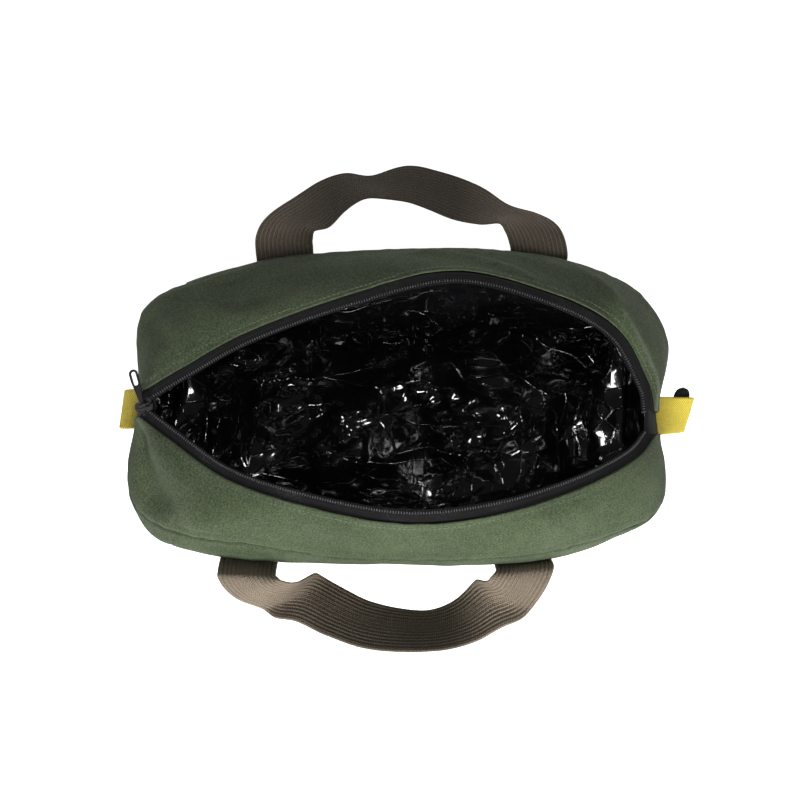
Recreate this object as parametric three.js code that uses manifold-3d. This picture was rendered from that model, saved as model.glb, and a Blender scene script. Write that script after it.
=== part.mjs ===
// An open canvas tool bag, in millimetres, +Z up, standing on its flat base.
// X runs along the bag, Y from front to back. The origin is the middle of the base.
import * as THREE from "three";
import { mergeVertices } from "three/addons/utils/BufferGeometryUtils.js";
import Module from "manifold-3d";

const wasm = await Module();
wasm.setup();

// Driving dimensions
const CANVAS = 1.5; // wall thickness of the canvas
const FILM = 1; // thickness of the lining
const TAPE = 1; // thickness of the zip tape
const WEBBING = 2.0; // thickness of the handle webbing
const TAB_WEBBING = 1.5; // thickness of the end tab webbing
const HANDLE_WIDTH = 38;
const TAB_WIDTH = 25;
const GAP = 0.35; // clearance kept between neighbouring pieces
const BASE_HEIGHT = 2; // thickness of the bottom panel
const END_DROP = 0.15; // how much lower the seam hangs at the two ends, as a share of its height
const END_DROP_POWER = 6; // how close to the ends it starts to hang
const END_PINCH = 7; // how far the zip pulls the middle of each end inwards
const TOP_BULGE = 0.07; // how far the top panels belly up, as a share of their width
const DROP_BULGE = 0.28; // and how far more where the seam hangs, as a share of its drop
const SEAM_LIFT = CANVAS / 2 + GAP; // the top panels lie on the walls' upper edge

// Horizontal sections of the walls, from the base edge to the top seam.
// shift moves a section to the back, and squareness is the power of its superellipse: 2 is an
// ellipse, higher is boxier.
const WALL = [
  { height: 1.2, halfLength: 161, halfWidth: 69, shift: 0, squareness: 5.0 },
  { height: 3.4, halfLength: 166, halfWidth: 74.5, shift: 0, squareness: 5.0 },
  { height: 11, halfLength: 169, halfWidth: 78, shift: 0, squareness: 4.9 },
  { height: 48, halfLength: 172.5, halfWidth: 87, shift: 0, squareness: 4.3 },
  { height: 85, halfLength: 178, halfWidth: 98, shift: 0, squareness: 3.8 },
  { height: 118, halfLength: 180.5, halfWidth: 107, shift: 0.6, squareness: 3.4 },
  { height: 141, halfLength: 181, halfWidth: 104.2, shift: 1.8, squareness: 3.2 },
];

// How far the corners of the top seam stand out from that section, round the bag as for the folds.
const CORNERS = [
  { around: 0.55, out: 7.5, width: 0.38 },
  { around: 2.95, out: -6.5, width: 0.5 },
  { around: 3.5, out: 4.5, width: 0.25 },
  { around: 4.55, out: 11.5, width: 0.36 },
  { around: 7.4, out: 12, width: 0.34 },
];

// The mouth: the hemmed inner edge of each top panel, every half step round the bag.
// The back edge runs from the right end to the left one, and the front edge back again.
const MOUTH_BACK = [
  { x: 171.5, y: -4, height: 150 },
  { x: 166, y: 16, height: 157 },
  { x: 143, y: 50, height: 171 },
  { x: 97, y: 71, height: 187 },
  { x: 35, y: 83, height: 196 },
  { x: -31, y: 69, height: 184 },
  { x: -99, y: 47, height: 165 },
  { x: -142, y: 25, height: 155 },
  { x: -171.5, y: 8, height: 150 },
];
const MOUTH_FRONT = [
  { x: -171.5, y: -8, height: 150 },
  { x: -150, y: -24, height: 156 },
  { x: -112, y: -50, height: 167 },
  { x: -60, y: -68, height: 182 },
  { x: 5, y: -80, height: 196 },
  { x: 64, y: -74, height: 192 },
  { x: 118, y: -57, height: 178 },
  { x: 156, y: -37.5, height: 162 },
  { x: 172, y: -20, height: 150 },
];

// Where the top panels start and stop round the seam: the zip runs out between them at each end.
const TOP_SPAN_BACK = { from: -0.05, to: 3.9 };
const TOP_SPAN_FRONT = { from: 4.1, to: 7.81 };

// Folds of the canvas. Each runs from one place to another: around is the place round the bag
// (0 right end, 2 back, 4 left end, 6 front), level is 0 at the base, 1 at the seam, 2 at the mouth.
const FOLDS = [
  { around: 0.15, level: 1.55, endAround: 1.15, endLevel: 1.36, width: 13, height: 6.5 },
  { around: 1.15, level: 1.36, endAround: 1.75, endLevel: 1.12, width: 10, height: 3 },
  { around: 4.95, level: 1.1, endAround: 4.85, endLevel: 1.5, width: 13, height: -4 },
  { around: 2.75, level: 1.2, endAround: 2.82, endLevel: 1.55, width: 17, height: -3 },
  { around: 3.45, level: 1.2, endAround: 3.5, endLevel: 1.5, width: 9, height: -2.5 },
  { around: 6.55, level: 1.15, endAround: 6.75, endLevel: 1.7, width: 14, height: 2 },
  { around: 5.75, level: 0.85, endAround: 6.15, endLevel: 0.35, width: 22, height: -2.5 },
  { around: 7.05, level: 0.9, endAround: 6.95, endLevel: 0.3, width: 20, height: -2.5 },
  { around: 2.2, level: 0.85, endAround: 1.8, endLevel: 0.3, width: 22, height: -2.5 },
  { around: 0.25, level: 0.8, endAround: -0.2, endLevel: 0.3, width: 20, height: -2.5 },
  { around: 3.8, level: 0.8, endAround: 4.2, endLevel: 0.35, width: 20, height: -2.5 },
];
const FOLD_AROUND_MM = 110; // length of one step round the bag, for the folds' widths
const FOLD_LEVEL_MM = 90; // length of one level
const FOLD_RISE_SEAM = 5; // how soon the folds are full beside a seam or the base, per level
const FOLD_RISE_MOUTH = 3; // and beside the mouth
const FOLD_PANEL_WIDTH = 45; // narrower top panels have smaller folds

// Panel grids: columns along, rows up
const WALL_GRID = { columns: 24, rows: 8 };
const END_GRID = { columns: 12, rows: 8 };
const TOP_GRID = { columns: 36, rows: 5 };
const CORNER_GAP = 0.004; // share of a step left open between two panels
const SEAM_LEVEL = 1;
const ABOVE_SEAM = SEAM_LEVEL + 1e-6; // lower edge of the top panels
const MOUTH_LEVEL = 2;

// Zip
const TAPE_HIDDEN = 2.5; // tape sewn under the hem
const TAPE_SHOWN = 8; // tape that shows inside the hem
const HEM_STEP = 0.02; // share of a panel over which the hem's slope is measured
const HEM_SLACK = 0.55; // more room where the tape bends under the hem
const TAPE_FLATTEN = 1.2; // how strongly the tape turns from the panel's slope to the level
const COIL_RADIUS = 1.1;
const COIL_INSET = 1.3; // from the tape's free edge to the middle of the coil
const ZIP_COLUMNS = TOP_GRID.columns;
const COIL_SIDES = 6;

// Lining
const LINING_POINTS = 48;
const LINING_GAP = CANVAS / 2 + GAP + 1; // from the canvas' middle to the film's outer face
const LINING_FLOOR = BASE_HEIGHT + GAP; // underside of the film's floor
const FILM_SLACK = 0.8; // more room where the film hangs under the tape
const UNDER_TAPE = CANVAS / 2 + TAPE + 2 * GAP + FILM_SLACK; // depth of the film's outer face
const LINING_END_DROP = 5; // how much lower the film's edge hangs below the zip's two ends
const LINING_SHOULDER = { inset: 1, drop: 2.5, start: 0.15 }; // how the film rounds the seam
const LINING_WALL_LEVELS = [0.22, 0.45, 0.68, 0.9];
const LINING_TOP_SHARES = [0, 0.33, 0.66, 0.96];
const LINING_FLOOR_SHARES = [0.55, 0.92];

// Carry handles: the free part of each, from its left leg to its right leg. out is the distance
// from the bag's middle, turn the plan direction from the strap's outer to its inner edge, and
// tilt the slope of the strap in that direction, in degrees.
const HANDLE_FRONT = [
  { x: -101, out: 107.5, height: 126, turn: -4, tilt: 0 },
  { x: -100, out: 113, height: 131, turn: 3, tilt: 4 },
  { x: -92.5, out: 122.5, height: 128, turn: 20, tilt: 28 },
  { x: -78, out: 127, height: 122, turn: 38, tilt: 38 },
  { x: -61.5, out: 128, height: 118, turn: 55, tilt: -24 },
  { x: -42, out: 137.5, height: 117, turn: 66, tilt: -33 },
  { x: -21.5, out: 146, height: 115, turn: 78, tilt: -39 },
  { x: 2, out: 150, height: 114, turn: 90, tilt: -45 },
  { x: 25.5, out: 150, height: 115, turn: 104, tilt: -47 },
  { x: 45.5, out: 143.5, height: 116, turn: 117, tilt: -41 },
  { x: 62, out: 132.5, height: 119, turn: 128, tilt: -24 },
  { x: 75.5, out: 126, height: 124, turn: 150, tilt: 20 },
  { x: 83, out: 115, height: 130, turn: 174, tilt: 8 },
  { x: 86, out: 108.5, height: 126, turn: 184, tilt: 0 },
];
const HANDLE_BACK = [
  { x: -77, out: 109, height: 126, turn: -4, tilt: 0 },
  { x: -76.5, out: 116, height: 132, turn: 6, tilt: 8 },
  { x: -72, out: 124.5, height: 134, turn: 19, tilt: 24 },
  { x: -58.5, out: 133, height: 131, turn: 40, tilt: 28 },
  { x: -44.5, out: 145, height: 127, turn: 54, tilt: 36 },
  { x: -29.5, out: 153, height: 122, turn: 60, tilt: 45 },
  { x: -14, out: 153.5, height: 118, turn: 72, tilt: 54 },
  { x: 7, out: 156.5, height: 115, turn: 95, tilt: 40 },
  { x: 26.5, out: 151.5, height: 114, turn: 104, tilt: 34 },
  { x: 48.5, out: 142.5, height: 116, turn: 123, tilt: 32 },
  { x: 66.5, out: 133.5, height: 120, turn: 139, tilt: 43 },
  { x: 83, out: 129.5, height: 126, turn: 159, tilt: 40 },
  { x: 92.5, out: 120, height: 131, turn: 172, tilt: 16 },
  { x: 97, out: 108, height: 126, turn: 186, tilt: 0 },
];
const SEWN_LEVELS = [0.5, 0.6, 0.7, 0.78]; // where each leg is sewn flat to its wall
const SEWN_STEP = 0.02; // distance round the bag over which the wall's direction is measured
const HANDLE_GRID = { columns: 44, rows: 3 };

// End tabs: folded loops of webbing in the end seams. droop is the slope of the loop below the
// level at its front and back edges, in degrees, and gather how far its fold draws in at the front.
const TAB_FOLD_RADIUS = 3.4; // to the middle of the webbing
const TAB_ROOT_HALF = TAB_WEBBING / 2 + GAP / 2; // half the distance between the two layers where sewn
const TAB_ROOT_DROP = 4.5; // below the seam
const TAB_STAND = 1; // from the wall, which swells below the seam
const TAB_LEFT = { side: -1, middle: 0.5, length: 11, droopFront: 66, droopBack: 73, gather: 0 };
const TAB_RIGHT = { side: 1, middle: -5, length: 25, droopFront: 46, droopBack: 13, gather: 2.8 };
const TAB_GRID = { columns: 22, rows: 3 };

// Tail of the zip in the right tab: from and to are shares of the tab's width, the rest millimetres
const TAIL = { from: 0.15, to: 1.32, middle: 16.4, half: 5, thickness: 1.6, curl: 1.5, blunt: 0.02 };
const TAIL_GRID = { columns: 14, rows: 4 };

// Slider and pull
const SLIDER = { x: -167.2, y: -0.8, turn: 18, pitch: 10, length: 12, width: 9, plate: 1.4, corner: 2.5 };
const SLIDER_TOP = 153.6; // underside of the upper plate
const SLIDER_BOTTOM = 147.6; // upper side of the lower plate
const POST_RADIUS = 1.3;
const POST_FORWARD = 3.6; // from the slider's middle towards the mouth
const BAIL = { rod: 0.8, height: 2.7, halfLength: 4.2, leg: 1.6, overlap: 0.2 };
const PULL = { length: 25, neck: 3.4, neckLength: 4, width: 6.2, thickness: 1.5, droop: 4 };
const PULL_SLOT = { width: 3.0, length: 9.5 };
const BARREL = { outer: 1.8, inner: 1.2, halfLength: 2.4 };

// Materials
const cloth = (name, color, roughness) =>
  new THREE.MeshStandardMaterial({ name, color, roughness, metalness: 0 });
const CANVAS_GREEN = cloth("canvas", 0x44553a, 0.95);
const WEBBING_BROWN = cloth("handle_webbing", 0x5d5142, 0.9);
const WEBBING_YELLOW = cloth("tab_webbing", 0xd9b81f, 0.85);
const ZIP_BLACK = cloth("zip_tape", 0x15151a, 0.9);
const COIL_BLACK = cloth("zip_coil", 0x222226, 0.5);
const FILM_BLACK = cloth("lining_film", 0x0b0b0d, 0.2);
const SLIDER_BLACK = new THREE.MeshStandardMaterial({
  name: "slider_metal",
  color: 0x101014,
  roughness: 0.35,
  metalness: 0.8,
});

const radians = THREE.MathUtils.degToRad;
const lerp = THREE.MathUtils.lerp;

// Reads a table between its rows, on a smooth curve through them.
function readTable(rows, at) {
  const last = rows.length - 1;
  const i = Math.min(Math.max(Math.floor(at), 0), last - 1);
  const t = at - i;
  const value = {};
  for (const key of Object.keys(rows[0])) {
    const b = rows[i][key];
    const c = rows[i + 1][key];
    const a = i > 0 ? rows[i - 1][key] : 2 * b - c;
    const d = i + 1 < last ? rows[i + 2][key] : 2 * c - b;
    const bend = (2 * a - 5 * b + 4 * c - d) * t * t + (3 * (b - c) + d - a) * t * t * t;
    value[key] = b + 0.5 * ((c - a) * t + bend);
  }
  return value;
}

// Walks round a unit square: 0 is the middle of the right side, 2 the back, 4 the left, 6 the front.
function squareAt(around) {
  const a = ((around % 8) + 8) % 8;
  if (a <= 1) return [1, a];
  if (a <= 3) return [2 - a, 1];
  if (a <= 5) return [-1, 4 - a];
  if (a <= 7) return [a - 6, -1];
  return [1, a - 8];
}

// A place on the walls, without their folds.
function wallPoint(around, level) {
  const row = readTable(WALL, level * (WALL.length - 1));
  const [sx, sy] = squareAt(around);
  const n = row.squareness;
  const k = (Math.abs(sx) ** n + Math.abs(sy) ** n) ** (-1 / n);
  const pinch = Math.abs(sx) === 1 ? END_PINCH * level ** 2 * (1 - sy * sy) ** 2 : 0;
  let out = 0;
  for (const corner of CORNERS) {
    const apart = corner.around - around;
    const distance = apart - 8 * Math.round(apart / 8);
    out += corner.out * level ** 2 * Math.exp(-((distance / corner.width) ** 2));
  }
  const reach = Math.hypot(sx, sy);
  return new THREE.Vector3(
    row.halfLength * sx * k - Math.sign(sx) * pinch + (out * sx) / reach,
    row.halfWidth * sy * k + row.shift + (out * sy) / reach,
    row.height * (1 - END_DROP * level ** 2 * Math.abs(sx * k) ** END_DROP_POWER),
  );
}

// The hemmed edge of the mouth.
function mouthPoint(around) {
  const row = around <= 4 ? readTable(MOUTH_BACK, around * 2) : readTable(MOUTH_FRONT, around * 2 - 8);
  return new THREE.Vector3(row.x, row.y, row.height);
}

// The place on the seam that a place round the top panels hangs from.
function seamAround(around) {
  const half = around <= 4 ? 0 : 4;
  const { from, to } = half === 0 ? TOP_SPAN_BACK : TOP_SPAN_FRONT;
  const t = around - half;
  if (t < 1) return lerp(from, half + 1, t);
  if (t > 3) return lerp(half + 3, to, t - 3);
  return around;
}

// A place on the whole bag, without its folds: walls up to the seam, top panels from there to the mouth.
function plainPoint(around, level) {
  if (level <= SEAM_LEVEL) return wallPoint(around, level);
  const seam = wallPoint(seamAround(around), SEAM_LEVEL);
  seam.z += SEAM_LIFT;
  const mouth = mouthPoint(around);
  const width = seam.distanceTo(mouth);
  const drop = WALL.at(-1).height + SEAM_LIFT - seam.z;
  const t = level - SEAM_LEVEL;
  const point = seam.lerp(mouth, t);
  point.z += (TOP_BULGE * width + DROP_BULGE * drop) * Math.sin(Math.PI * t);
  return point;
}

// The outward direction of a surface given by a function of two places.
const SLOPE_STEP = 0.004; // distance over which directions are measured
function normalOf(pointAt, u, v, low, high) {
  const [u0, u1] = [Math.max(u - SLOPE_STEP, low[0]), Math.min(u + SLOPE_STEP, high[0])];
  const [v0, v1] = [Math.max(v - SLOPE_STEP, low[1]), Math.min(v + SLOPE_STEP, high[1])];
  const along = pointAt(u1, v).sub(pointAt(u0, v));
  const up = pointAt(u, v1).sub(pointAt(u, v0));
  return along.cross(up).normalize();
}

// Height of the folds at a place.
function foldHeight(around, level) {
  let height = 0;
  for (const fold of FOLDS) {
    const run = [
      (fold.endAround - fold.around) * FOLD_AROUND_MM,
      (fold.endLevel - fold.level) * FOLD_LEVEL_MM,
    ];
    const nearest = Math.round((fold.around - around) / 8) * 8;
    const here = [
      (around + nearest - fold.around) * FOLD_AROUND_MM,
      (level - fold.level) * FOLD_LEVEL_MM,
    ];
    const length = Math.hypot(...run);
    const share = (here[0] * run[0] + here[1] * run[1]) / length ** 2;
    const t = THREE.MathUtils.clamp(share, 0, 1);
    const distance = Math.hypot(here[0] - t * run[0], here[1] - t * run[1]);
    height += fold.height * Math.exp(-((distance / fold.width) ** 2));
  }
  return height;
}

// Folds die out at the base, the seam and the mouth, where the cloth is sewn, and where a top panel
// is narrow.
function foldFade(around, level) {
  if (level <= SEAM_LEVEL) return Math.min(1, FOLD_RISE_SEAM * Math.min(level, SEAM_LEVEL - level));
  const t = level - SEAM_LEVEL;
  const width = wallPoint(seamAround(around), SEAM_LEVEL).distanceTo(mouthPoint(around));
  const fade = Math.min(1, FOLD_RISE_SEAM * t, FOLD_RISE_MOUTH * (1 - t));
  return fade * Math.min(1, width / FOLD_PANEL_WIDTH);
}

// A place on one stretch of the bag, with its folds. low and high bound the stretch.
function bodyPoint(around, level, low, high) {
  const normal = normalOf(plainPoint, around, level, low, high);
  const height = foldHeight(around, level) * Math.max(0, foldFade(around, level));
  return plainPoint(around, level).addScaledVector(normal, height);
}

// Turns vertices and triangles into a geometry whose faces point out.
function solidGeometry(points, triangles) {
  let volume = 0;
  for (let i = 0; i < triangles.length; i += 3) {
    const [a, b, c] = [points[triangles[i]], points[triangles[i + 1]], points[triangles[i + 2]]];
    volume += a.dot(new THREE.Vector3().crossVectors(b, c));
  }
  const index = volume < 0 ? [...triangles].reverse() : triangles;
  const geometry = new THREE.BufferGeometry();
  geometry.setFromPoints(points);
  geometry.setIndex(index);
  geometry.computeVertexNormals();
  return geometry;
}

// A sheet of cloth: pointAt(u, v) is its middle surface for u and v from 0 to 1.
function sheet(pointAt, { columns, rows }, thickness) {
  const points = [];
  const triangles = [];
  const side = rows + 1;
  const ring = 2 * side;
  for (let i = 0; i <= columns; i++) {
    const faces = [[], []];
    for (let j = 0; j <= rows; j++) {
      const [u, v] = [i / columns, j / rows];
      const middle = pointAt(u, v);
      const normal = normalOf(pointAt, u, v, [0, 0], [1, 1]);
      faces[0].push(middle.clone().addScaledVector(normal, thickness / 2));
      faces[1].push(middle.clone().addScaledVector(normal, -thickness / 2));
    }
    points.push(...faces[0], ...faces[1].reverse());
  }
  const quad = (a, b, c, d) => triangles.push(a, b, c, a, c, d);
  for (let i = 0; i < columns; i++)
    for (let j = 0; j < ring; j++) {
      const next = (j + 1) % ring;
      quad(i * ring + j, (i + 1) * ring + j, (i + 1) * ring + next, i * ring + next);
    }
  for (let j = 0; j < rows; j++) {
    const end = columns * ring;
    quad(j, j + 1, ring - 2 - j, ring - 1 - j);
    quad(end + j + 1, end + j, end + ring - 1 - j, end + ring - 2 - j);
  }
  return solidGeometry(points, triangles);
}

// A closed surface through rings of points, closed by a single point at each end.
function shellOfRings(firstPole, rings, lastPole) {
  const count = rings[0].length;
  const points = [firstPole, ...rings.flat(), lastPole];
  const at = (ring, i) => 1 + ring * count + (i % count);
  const triangles = [];
  for (let i = 0; i < count; i++) {
    triangles.push(0, at(0, i + 1), at(0, i));
    triangles.push(points.length - 1, at(rings.length - 1, i), at(rings.length - 1, i + 1));
    for (let r = 0; r + 1 < rings.length; r++) {
      triangles.push(at(r, i), at(r, i + 1), at(r + 1, i + 1));
      triangles.push(at(r, i), at(r + 1, i + 1), at(r + 1, i));
    }
  }
  return solidGeometry(points, triangles);
}

// Joining and cutting of hard pieces.
function toManifold(geometry) {
  const bare = geometry.clone();
  for (const name of Object.keys(bare.attributes)) if (name !== "position") bare.deleteAttribute(name);
  const merged = mergeVertices(bare, 1e-4);
  return new wasm.Manifold(
    new wasm.Mesh({
      numProp: 3,
      vertProperties: merged.attributes.position.array,
      triVerts: new Uint32Array(merged.index.array),
    }),
  );
}

function fromManifold(solid) {
  const mesh = solid.getMesh();
  const geometry = new THREE.BufferGeometry();
  geometry.setAttribute("position", new THREE.BufferAttribute(mesh.vertProperties, 3));
  geometry.setIndex(new THREE.BufferAttribute(mesh.triVerts, 1));
  geometry.computeVertexNormals();
  return geometry;
}

const joined = (...geometries) => geometries.map(toManifold).reduce((a, b) => a.add(b));

const bag = new THREE.Group();

function addPiece(name, geometry, material, parent = bag) {
  const mesh = new THREE.Mesh(geometry, material);
  mesh.name = name;
  parent.add(mesh);
  return mesh;
}

// Canvas panels: each is a stretch of the bag between two places round it and two levels.
function panel(from, to, lowLevel, highLevel, grid) {
  const low = [from, lowLevel];
  const high = [to, highLevel];
  const pointAt = (u, v) =>
    bodyPoint(lerp(from, to, u), lerp(lowLevel, highLevel, v), low, high);
  return sheet(pointAt, grid, CANVAS);
}

const walls = [
  ["right_end_panel", -1, END_GRID],
  ["back_panel", 1, WALL_GRID],
  ["left_end_panel", 3, END_GRID],
  ["front_panel", 5, WALL_GRID],
];
for (const [name, corner, grid] of walls) {
  const geometry = panel(corner + CORNER_GAP, corner + 2 - CORNER_GAP, 0, SEAM_LEVEL, grid);
  addPiece(name, geometry, CANVAS_GREEN);
}

const tops = [
  ["top_back_panel", 0],
  ["top_front_panel", 4],
];
for (const [name, start] of tops) {
  const geometry = panel(start + CORNER_GAP, start + 4 - CORNER_GAP, ABOVE_SEAM, MOUTH_LEVEL, TOP_GRID);
  addPiece(name, geometry, CANVAS_GREEN);
}

// Bottom panel: a flat sheet inside the walls' lower edge.
const BASE_POINTS = 48;
function baseOutline(inset) {
  const outline = [];
  for (let i = 0; i < BASE_POINTS; i++) {
    const edge = wallPoint((i * 8) / BASE_POINTS, 0);
    const reach = Math.hypot(edge.x, edge.y);
    outline.push(new THREE.Vector2(edge.x, edge.y).multiplyScalar(1 - inset / reach));
  }
  return outline;
}
const baseShape = new THREE.Shape(baseOutline(CANVAS / 2 + GAP));
const bottom = new THREE.ExtrudeGeometry(baseShape, { depth: BASE_HEIGHT, bevelEnabled: false });
addPiece("bottom_panel", bottom, CANVAS_GREEN);

// Lining: a film bag that follows the canvas at a small distance, open at the mouth.

function insideWall(around, level, depth) {
  const low = [around - 1, 0];
  const high = [around + 1, SEAM_LEVEL];
  const normal = normalOf(plainPoint, around, level, low, high);
  return bodyPoint(around, level, low, high).addScaledVector(normal, -depth);
}

function underTop(around, share, depth) {
  const seam = wallPoint(around, SEAM_LEVEL);
  const inward = new THREE.Vector3(seam.x, seam.y, 0).normalize();
  seam.addScaledVector(inward, -(LINING_GAP + depth + LINING_SHOULDER.inset));
  seam.z -= LINING_SHOULDER.drop + depth;
  const half = around <= 4 ? 0 : 4;
  const low = [half, ABOVE_SEAM];
  const high = [half + 4, MOUTH_LEVEL];
  const level = lerp(ABOVE_SEAM, MOUTH_LEVEL, share);
  const normal = normalOf(plainPoint, around, level, low, high);
  const fromEnd = Math.min(around % 4, 4 - (around % 4));
  const dent = Math.max(0, -foldHeight(around, level)) + LINING_END_DROP * Math.max(0, 1 - 2 * fromEnd);
  const top = plainPoint(around, level).addScaledVector(normal, -(UNDER_TAPE + dent + depth));
  return seam.lerp(top, Math.min(1, LINING_SHOULDER.start + share));
}

function liningRings(depth) {
  const ringOf = (pointAt) =>
    Array.from({ length: LINING_POINTS }, (_, i) => pointAt((i * 8) / LINING_POINTS));
  const floorPoint = (share) => (around) => {
    const edge = insideWall(around, LINING_WALL_LEVELS[0], LINING_GAP + depth);
    return new THREE.Vector3(edge.x * share, edge.y * share, LINING_FLOOR + depth);
  };
  return [
    ...LINING_FLOOR_SHARES.map((share) => ringOf(floorPoint(share))),
    ...LINING_WALL_LEVELS.map((level) => ringOf((a) => insideWall(a, level, LINING_GAP + depth))),
    ...LINING_TOP_SHARES.map((share) => ringOf((a) => underTop(a, share, depth))),
  ];
}

const outerFilm = liningRings(0);
const innerFilm = liningRings(FILM);
const lining = shellOfRings(
  new THREE.Vector3(0, 0, LINING_FLOOR),
  [...outerFilm, ...innerFilm.reverse()],
  new THREE.Vector3(0, 0, LINING_FLOOR + FILM),
);
addPiece("lining", lining, FILM_BLACK);

// Zip: a tape sewn under each hem, with a coil along its free edge.
function hemFrame(around) {
  const half = around <= 4 ? 0 : 4;
  const low = [half, ABOVE_SEAM];
  const high = [half + 4, MOUTH_LEVEL];
  const edge = plainPoint(around, MOUTH_LEVEL);
  const normal = normalOf(plainPoint, around, MOUTH_LEVEL, low, high);
  const slope = edge.clone().sub(plainPoint(around, MOUTH_LEVEL - HEM_STEP)).normalize();
  const ahead = plainPoint(Math.min(around + SLOPE_STEP, half + 4), MOUTH_LEVEL);
  const along = ahead.sub(plainPoint(Math.max(around - SLOPE_STEP, half), MOUTH_LEVEL)).normalize();
  const level = new THREE.Vector3(-along.y, along.x, 0).normalize();
  const inward = slope.clone().addScaledVector(level, TAPE_FLATTEN).normalize();
  return { edge, normal, slope, along, inward };
}

const UNDER_HEM = (CANVAS + TAPE) / 2 + GAP + HEM_SLACK;

function tapePoint(around, across) {
  const { edge, normal, slope, inward } = hemFrame(around);
  const point = edge.addScaledVector(normal, -UNDER_HEM);
  return across < 0 ? point.addScaledVector(slope, across) : point.addScaledVector(inward, across);
}

function coilPoint(around) {
  const { along, inward } = hemFrame(around);
  const up = new THREE.Vector3().crossVectors(along, inward).normalize();
  const lift = TAPE / 2 + GAP + COIL_RADIUS;
  return tapePoint(around, TAPE_SHOWN - COIL_INSET).addScaledVector(up, lift);
}

function polygon(radius, sides) {
  const corner = (i) => (i * 2 * Math.PI) / sides;
  const corners = Array.from(
    { length: sides },
    (_, i) => new THREE.Vector2(radius * Math.cos(corner(i)), radius * Math.sin(corner(i))),
  );
  return new THREE.Shape(corners);
}

const zips = [
  ["back", 0],
  ["front", 4],
];
for (const [name, start] of zips) {
  const around = (u) => start + lerp(CORNER_GAP, 4 - CORNER_GAP, u);
  const hiddenShare = 1 / 2;
  const across = (v) =>
    v < hiddenShare
      ? lerp(-TAPE_HIDDEN, 0, v / hiddenShare)
      : lerp(0, TAPE_SHOWN, (v - hiddenShare) / (1 - hiddenShare));
  const tape = sheet((u, v) => tapePoint(around(u), across(v)), { columns: ZIP_COLUMNS, rows: 2 }, TAPE);
  addPiece(`zip_tape_${name}`, tape, ZIP_BLACK);
  const route = Array.from({ length: ZIP_COLUMNS + 1 }, (_, i) => coilPoint(around(i / ZIP_COLUMNS)));
  const coil = new THREE.ExtrudeGeometry(polygon(COIL_RADIUS, COIL_SIDES), {
    extrudePath: new THREE.CatmullRomCurve3(route),
    steps: ZIP_COLUMNS,
  });
  addPiece(`zip_coil_${name}`, coil, COIL_BLACK);
}

// Carry handles: a flat strap, sewn to its wall at both legs and free between them.
const HALVINGS = 30; // of the stretch in which a place round the bag is looked for
function aroundForX(x, side, level) {
  let [low, high] = side < 0 ? [5, 7] : [3, 1];
  for (let i = 0; i < HALVINGS; i++) {
    const middle = (low + high) / 2;
    if (wallPoint(middle, level).x < x) low = middle;
    else high = middle;
  }
  return (low + high) / 2;
}

function sewnRows(x, side, turn) {
  return SEWN_LEVELS.map((level) => {
    const around = aroundForX(x, side, level);
    const stand = CANVAS / 2 + GAP + WEBBING / 2;
    const middle = insideWall(around, level, -stand);
    const along = wallPoint(around + SEWN_STEP, level).sub(wallPoint(around - SEWN_STEP, level));
    const slope = THREE.MathUtils.radToDeg(Math.atan2(along.y, along.x)) * -side;
    const lean = side < 0 ? slope : slope - 180 * Math.sign(slope);
    return { x: middle.x, out: Math.abs(middle.y), height: middle.z, turn: turn + lean, tilt: 0 };
  });
}

function handle(rows, side) {
  const first = rows[0];
  const last = rows[rows.length - 1];
  const whole = [
    ...sewnRows(first.x, side, 0),
    ...rows,
    ...sewnRows(last.x, side, 180).reverse(),
  ];
  const pointAt = (u, v) => {
    const row = readTable(whole, u * (whole.length - 1));
    const [turn, tilt] = [radians(row.turn), radians(row.tilt)];
    const across = new THREE.Vector3(
      Math.cos(turn) * Math.cos(tilt),
      -side * Math.sin(turn) * Math.cos(tilt),
      Math.sin(tilt),
    );
    const middle = new THREE.Vector3(row.x, side * row.out, row.height);
    return middle.addScaledVector(across, (v - 0.5) * HANDLE_WIDTH);
  };
  return sheet(pointAt, HANDLE_GRID, WEBBING);
}

addPiece("handle_front", handle(HANDLE_FRONT, -1), WEBBING_BROWN);
addPiece("handle_back", handle(HANDLE_BACK, 1), WEBBING_BROWN);

// End tabs: the webbing leaves the seam, folds round and comes back under itself.
function tabFrame({ side, middle, length, droopFront, droopBack, gather }) {
  const halfWidth = WALL[WALL.length - 1].halfWidth;
  const edgeAt = (offset, droop, shift) => {
    const across = (middle + offset) / halfWidth;
    const seam = wallPoint(side > 0 ? across : 4 - across, SEAM_LEVEL);
    const slope = radians(droop);
    const stand = CANVAS / 2 + TAB_STAND + (TAB_ROOT_HALF + TAB_WEBBING / 2) * Math.sin(slope);
    const root = new THREE.Vector3(seam.x + side * stand, middle + offset, seam.z - TAB_ROOT_DROP);
    const reach = length - TAB_FOLD_RADIUS;
    const out = new THREE.Vector3(side * Math.cos(slope), 0, -Math.sin(slope));
    const fold = root.clone().addScaledVector(out, reach);
    fold.y += shift;
    return { root, fold };
  };
  return {
    front: edgeAt(-TAB_WIDTH / 2, droopFront, gather),
    back: edgeAt(TAB_WIDTH / 2, droopBack, 0),
  };
}

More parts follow.
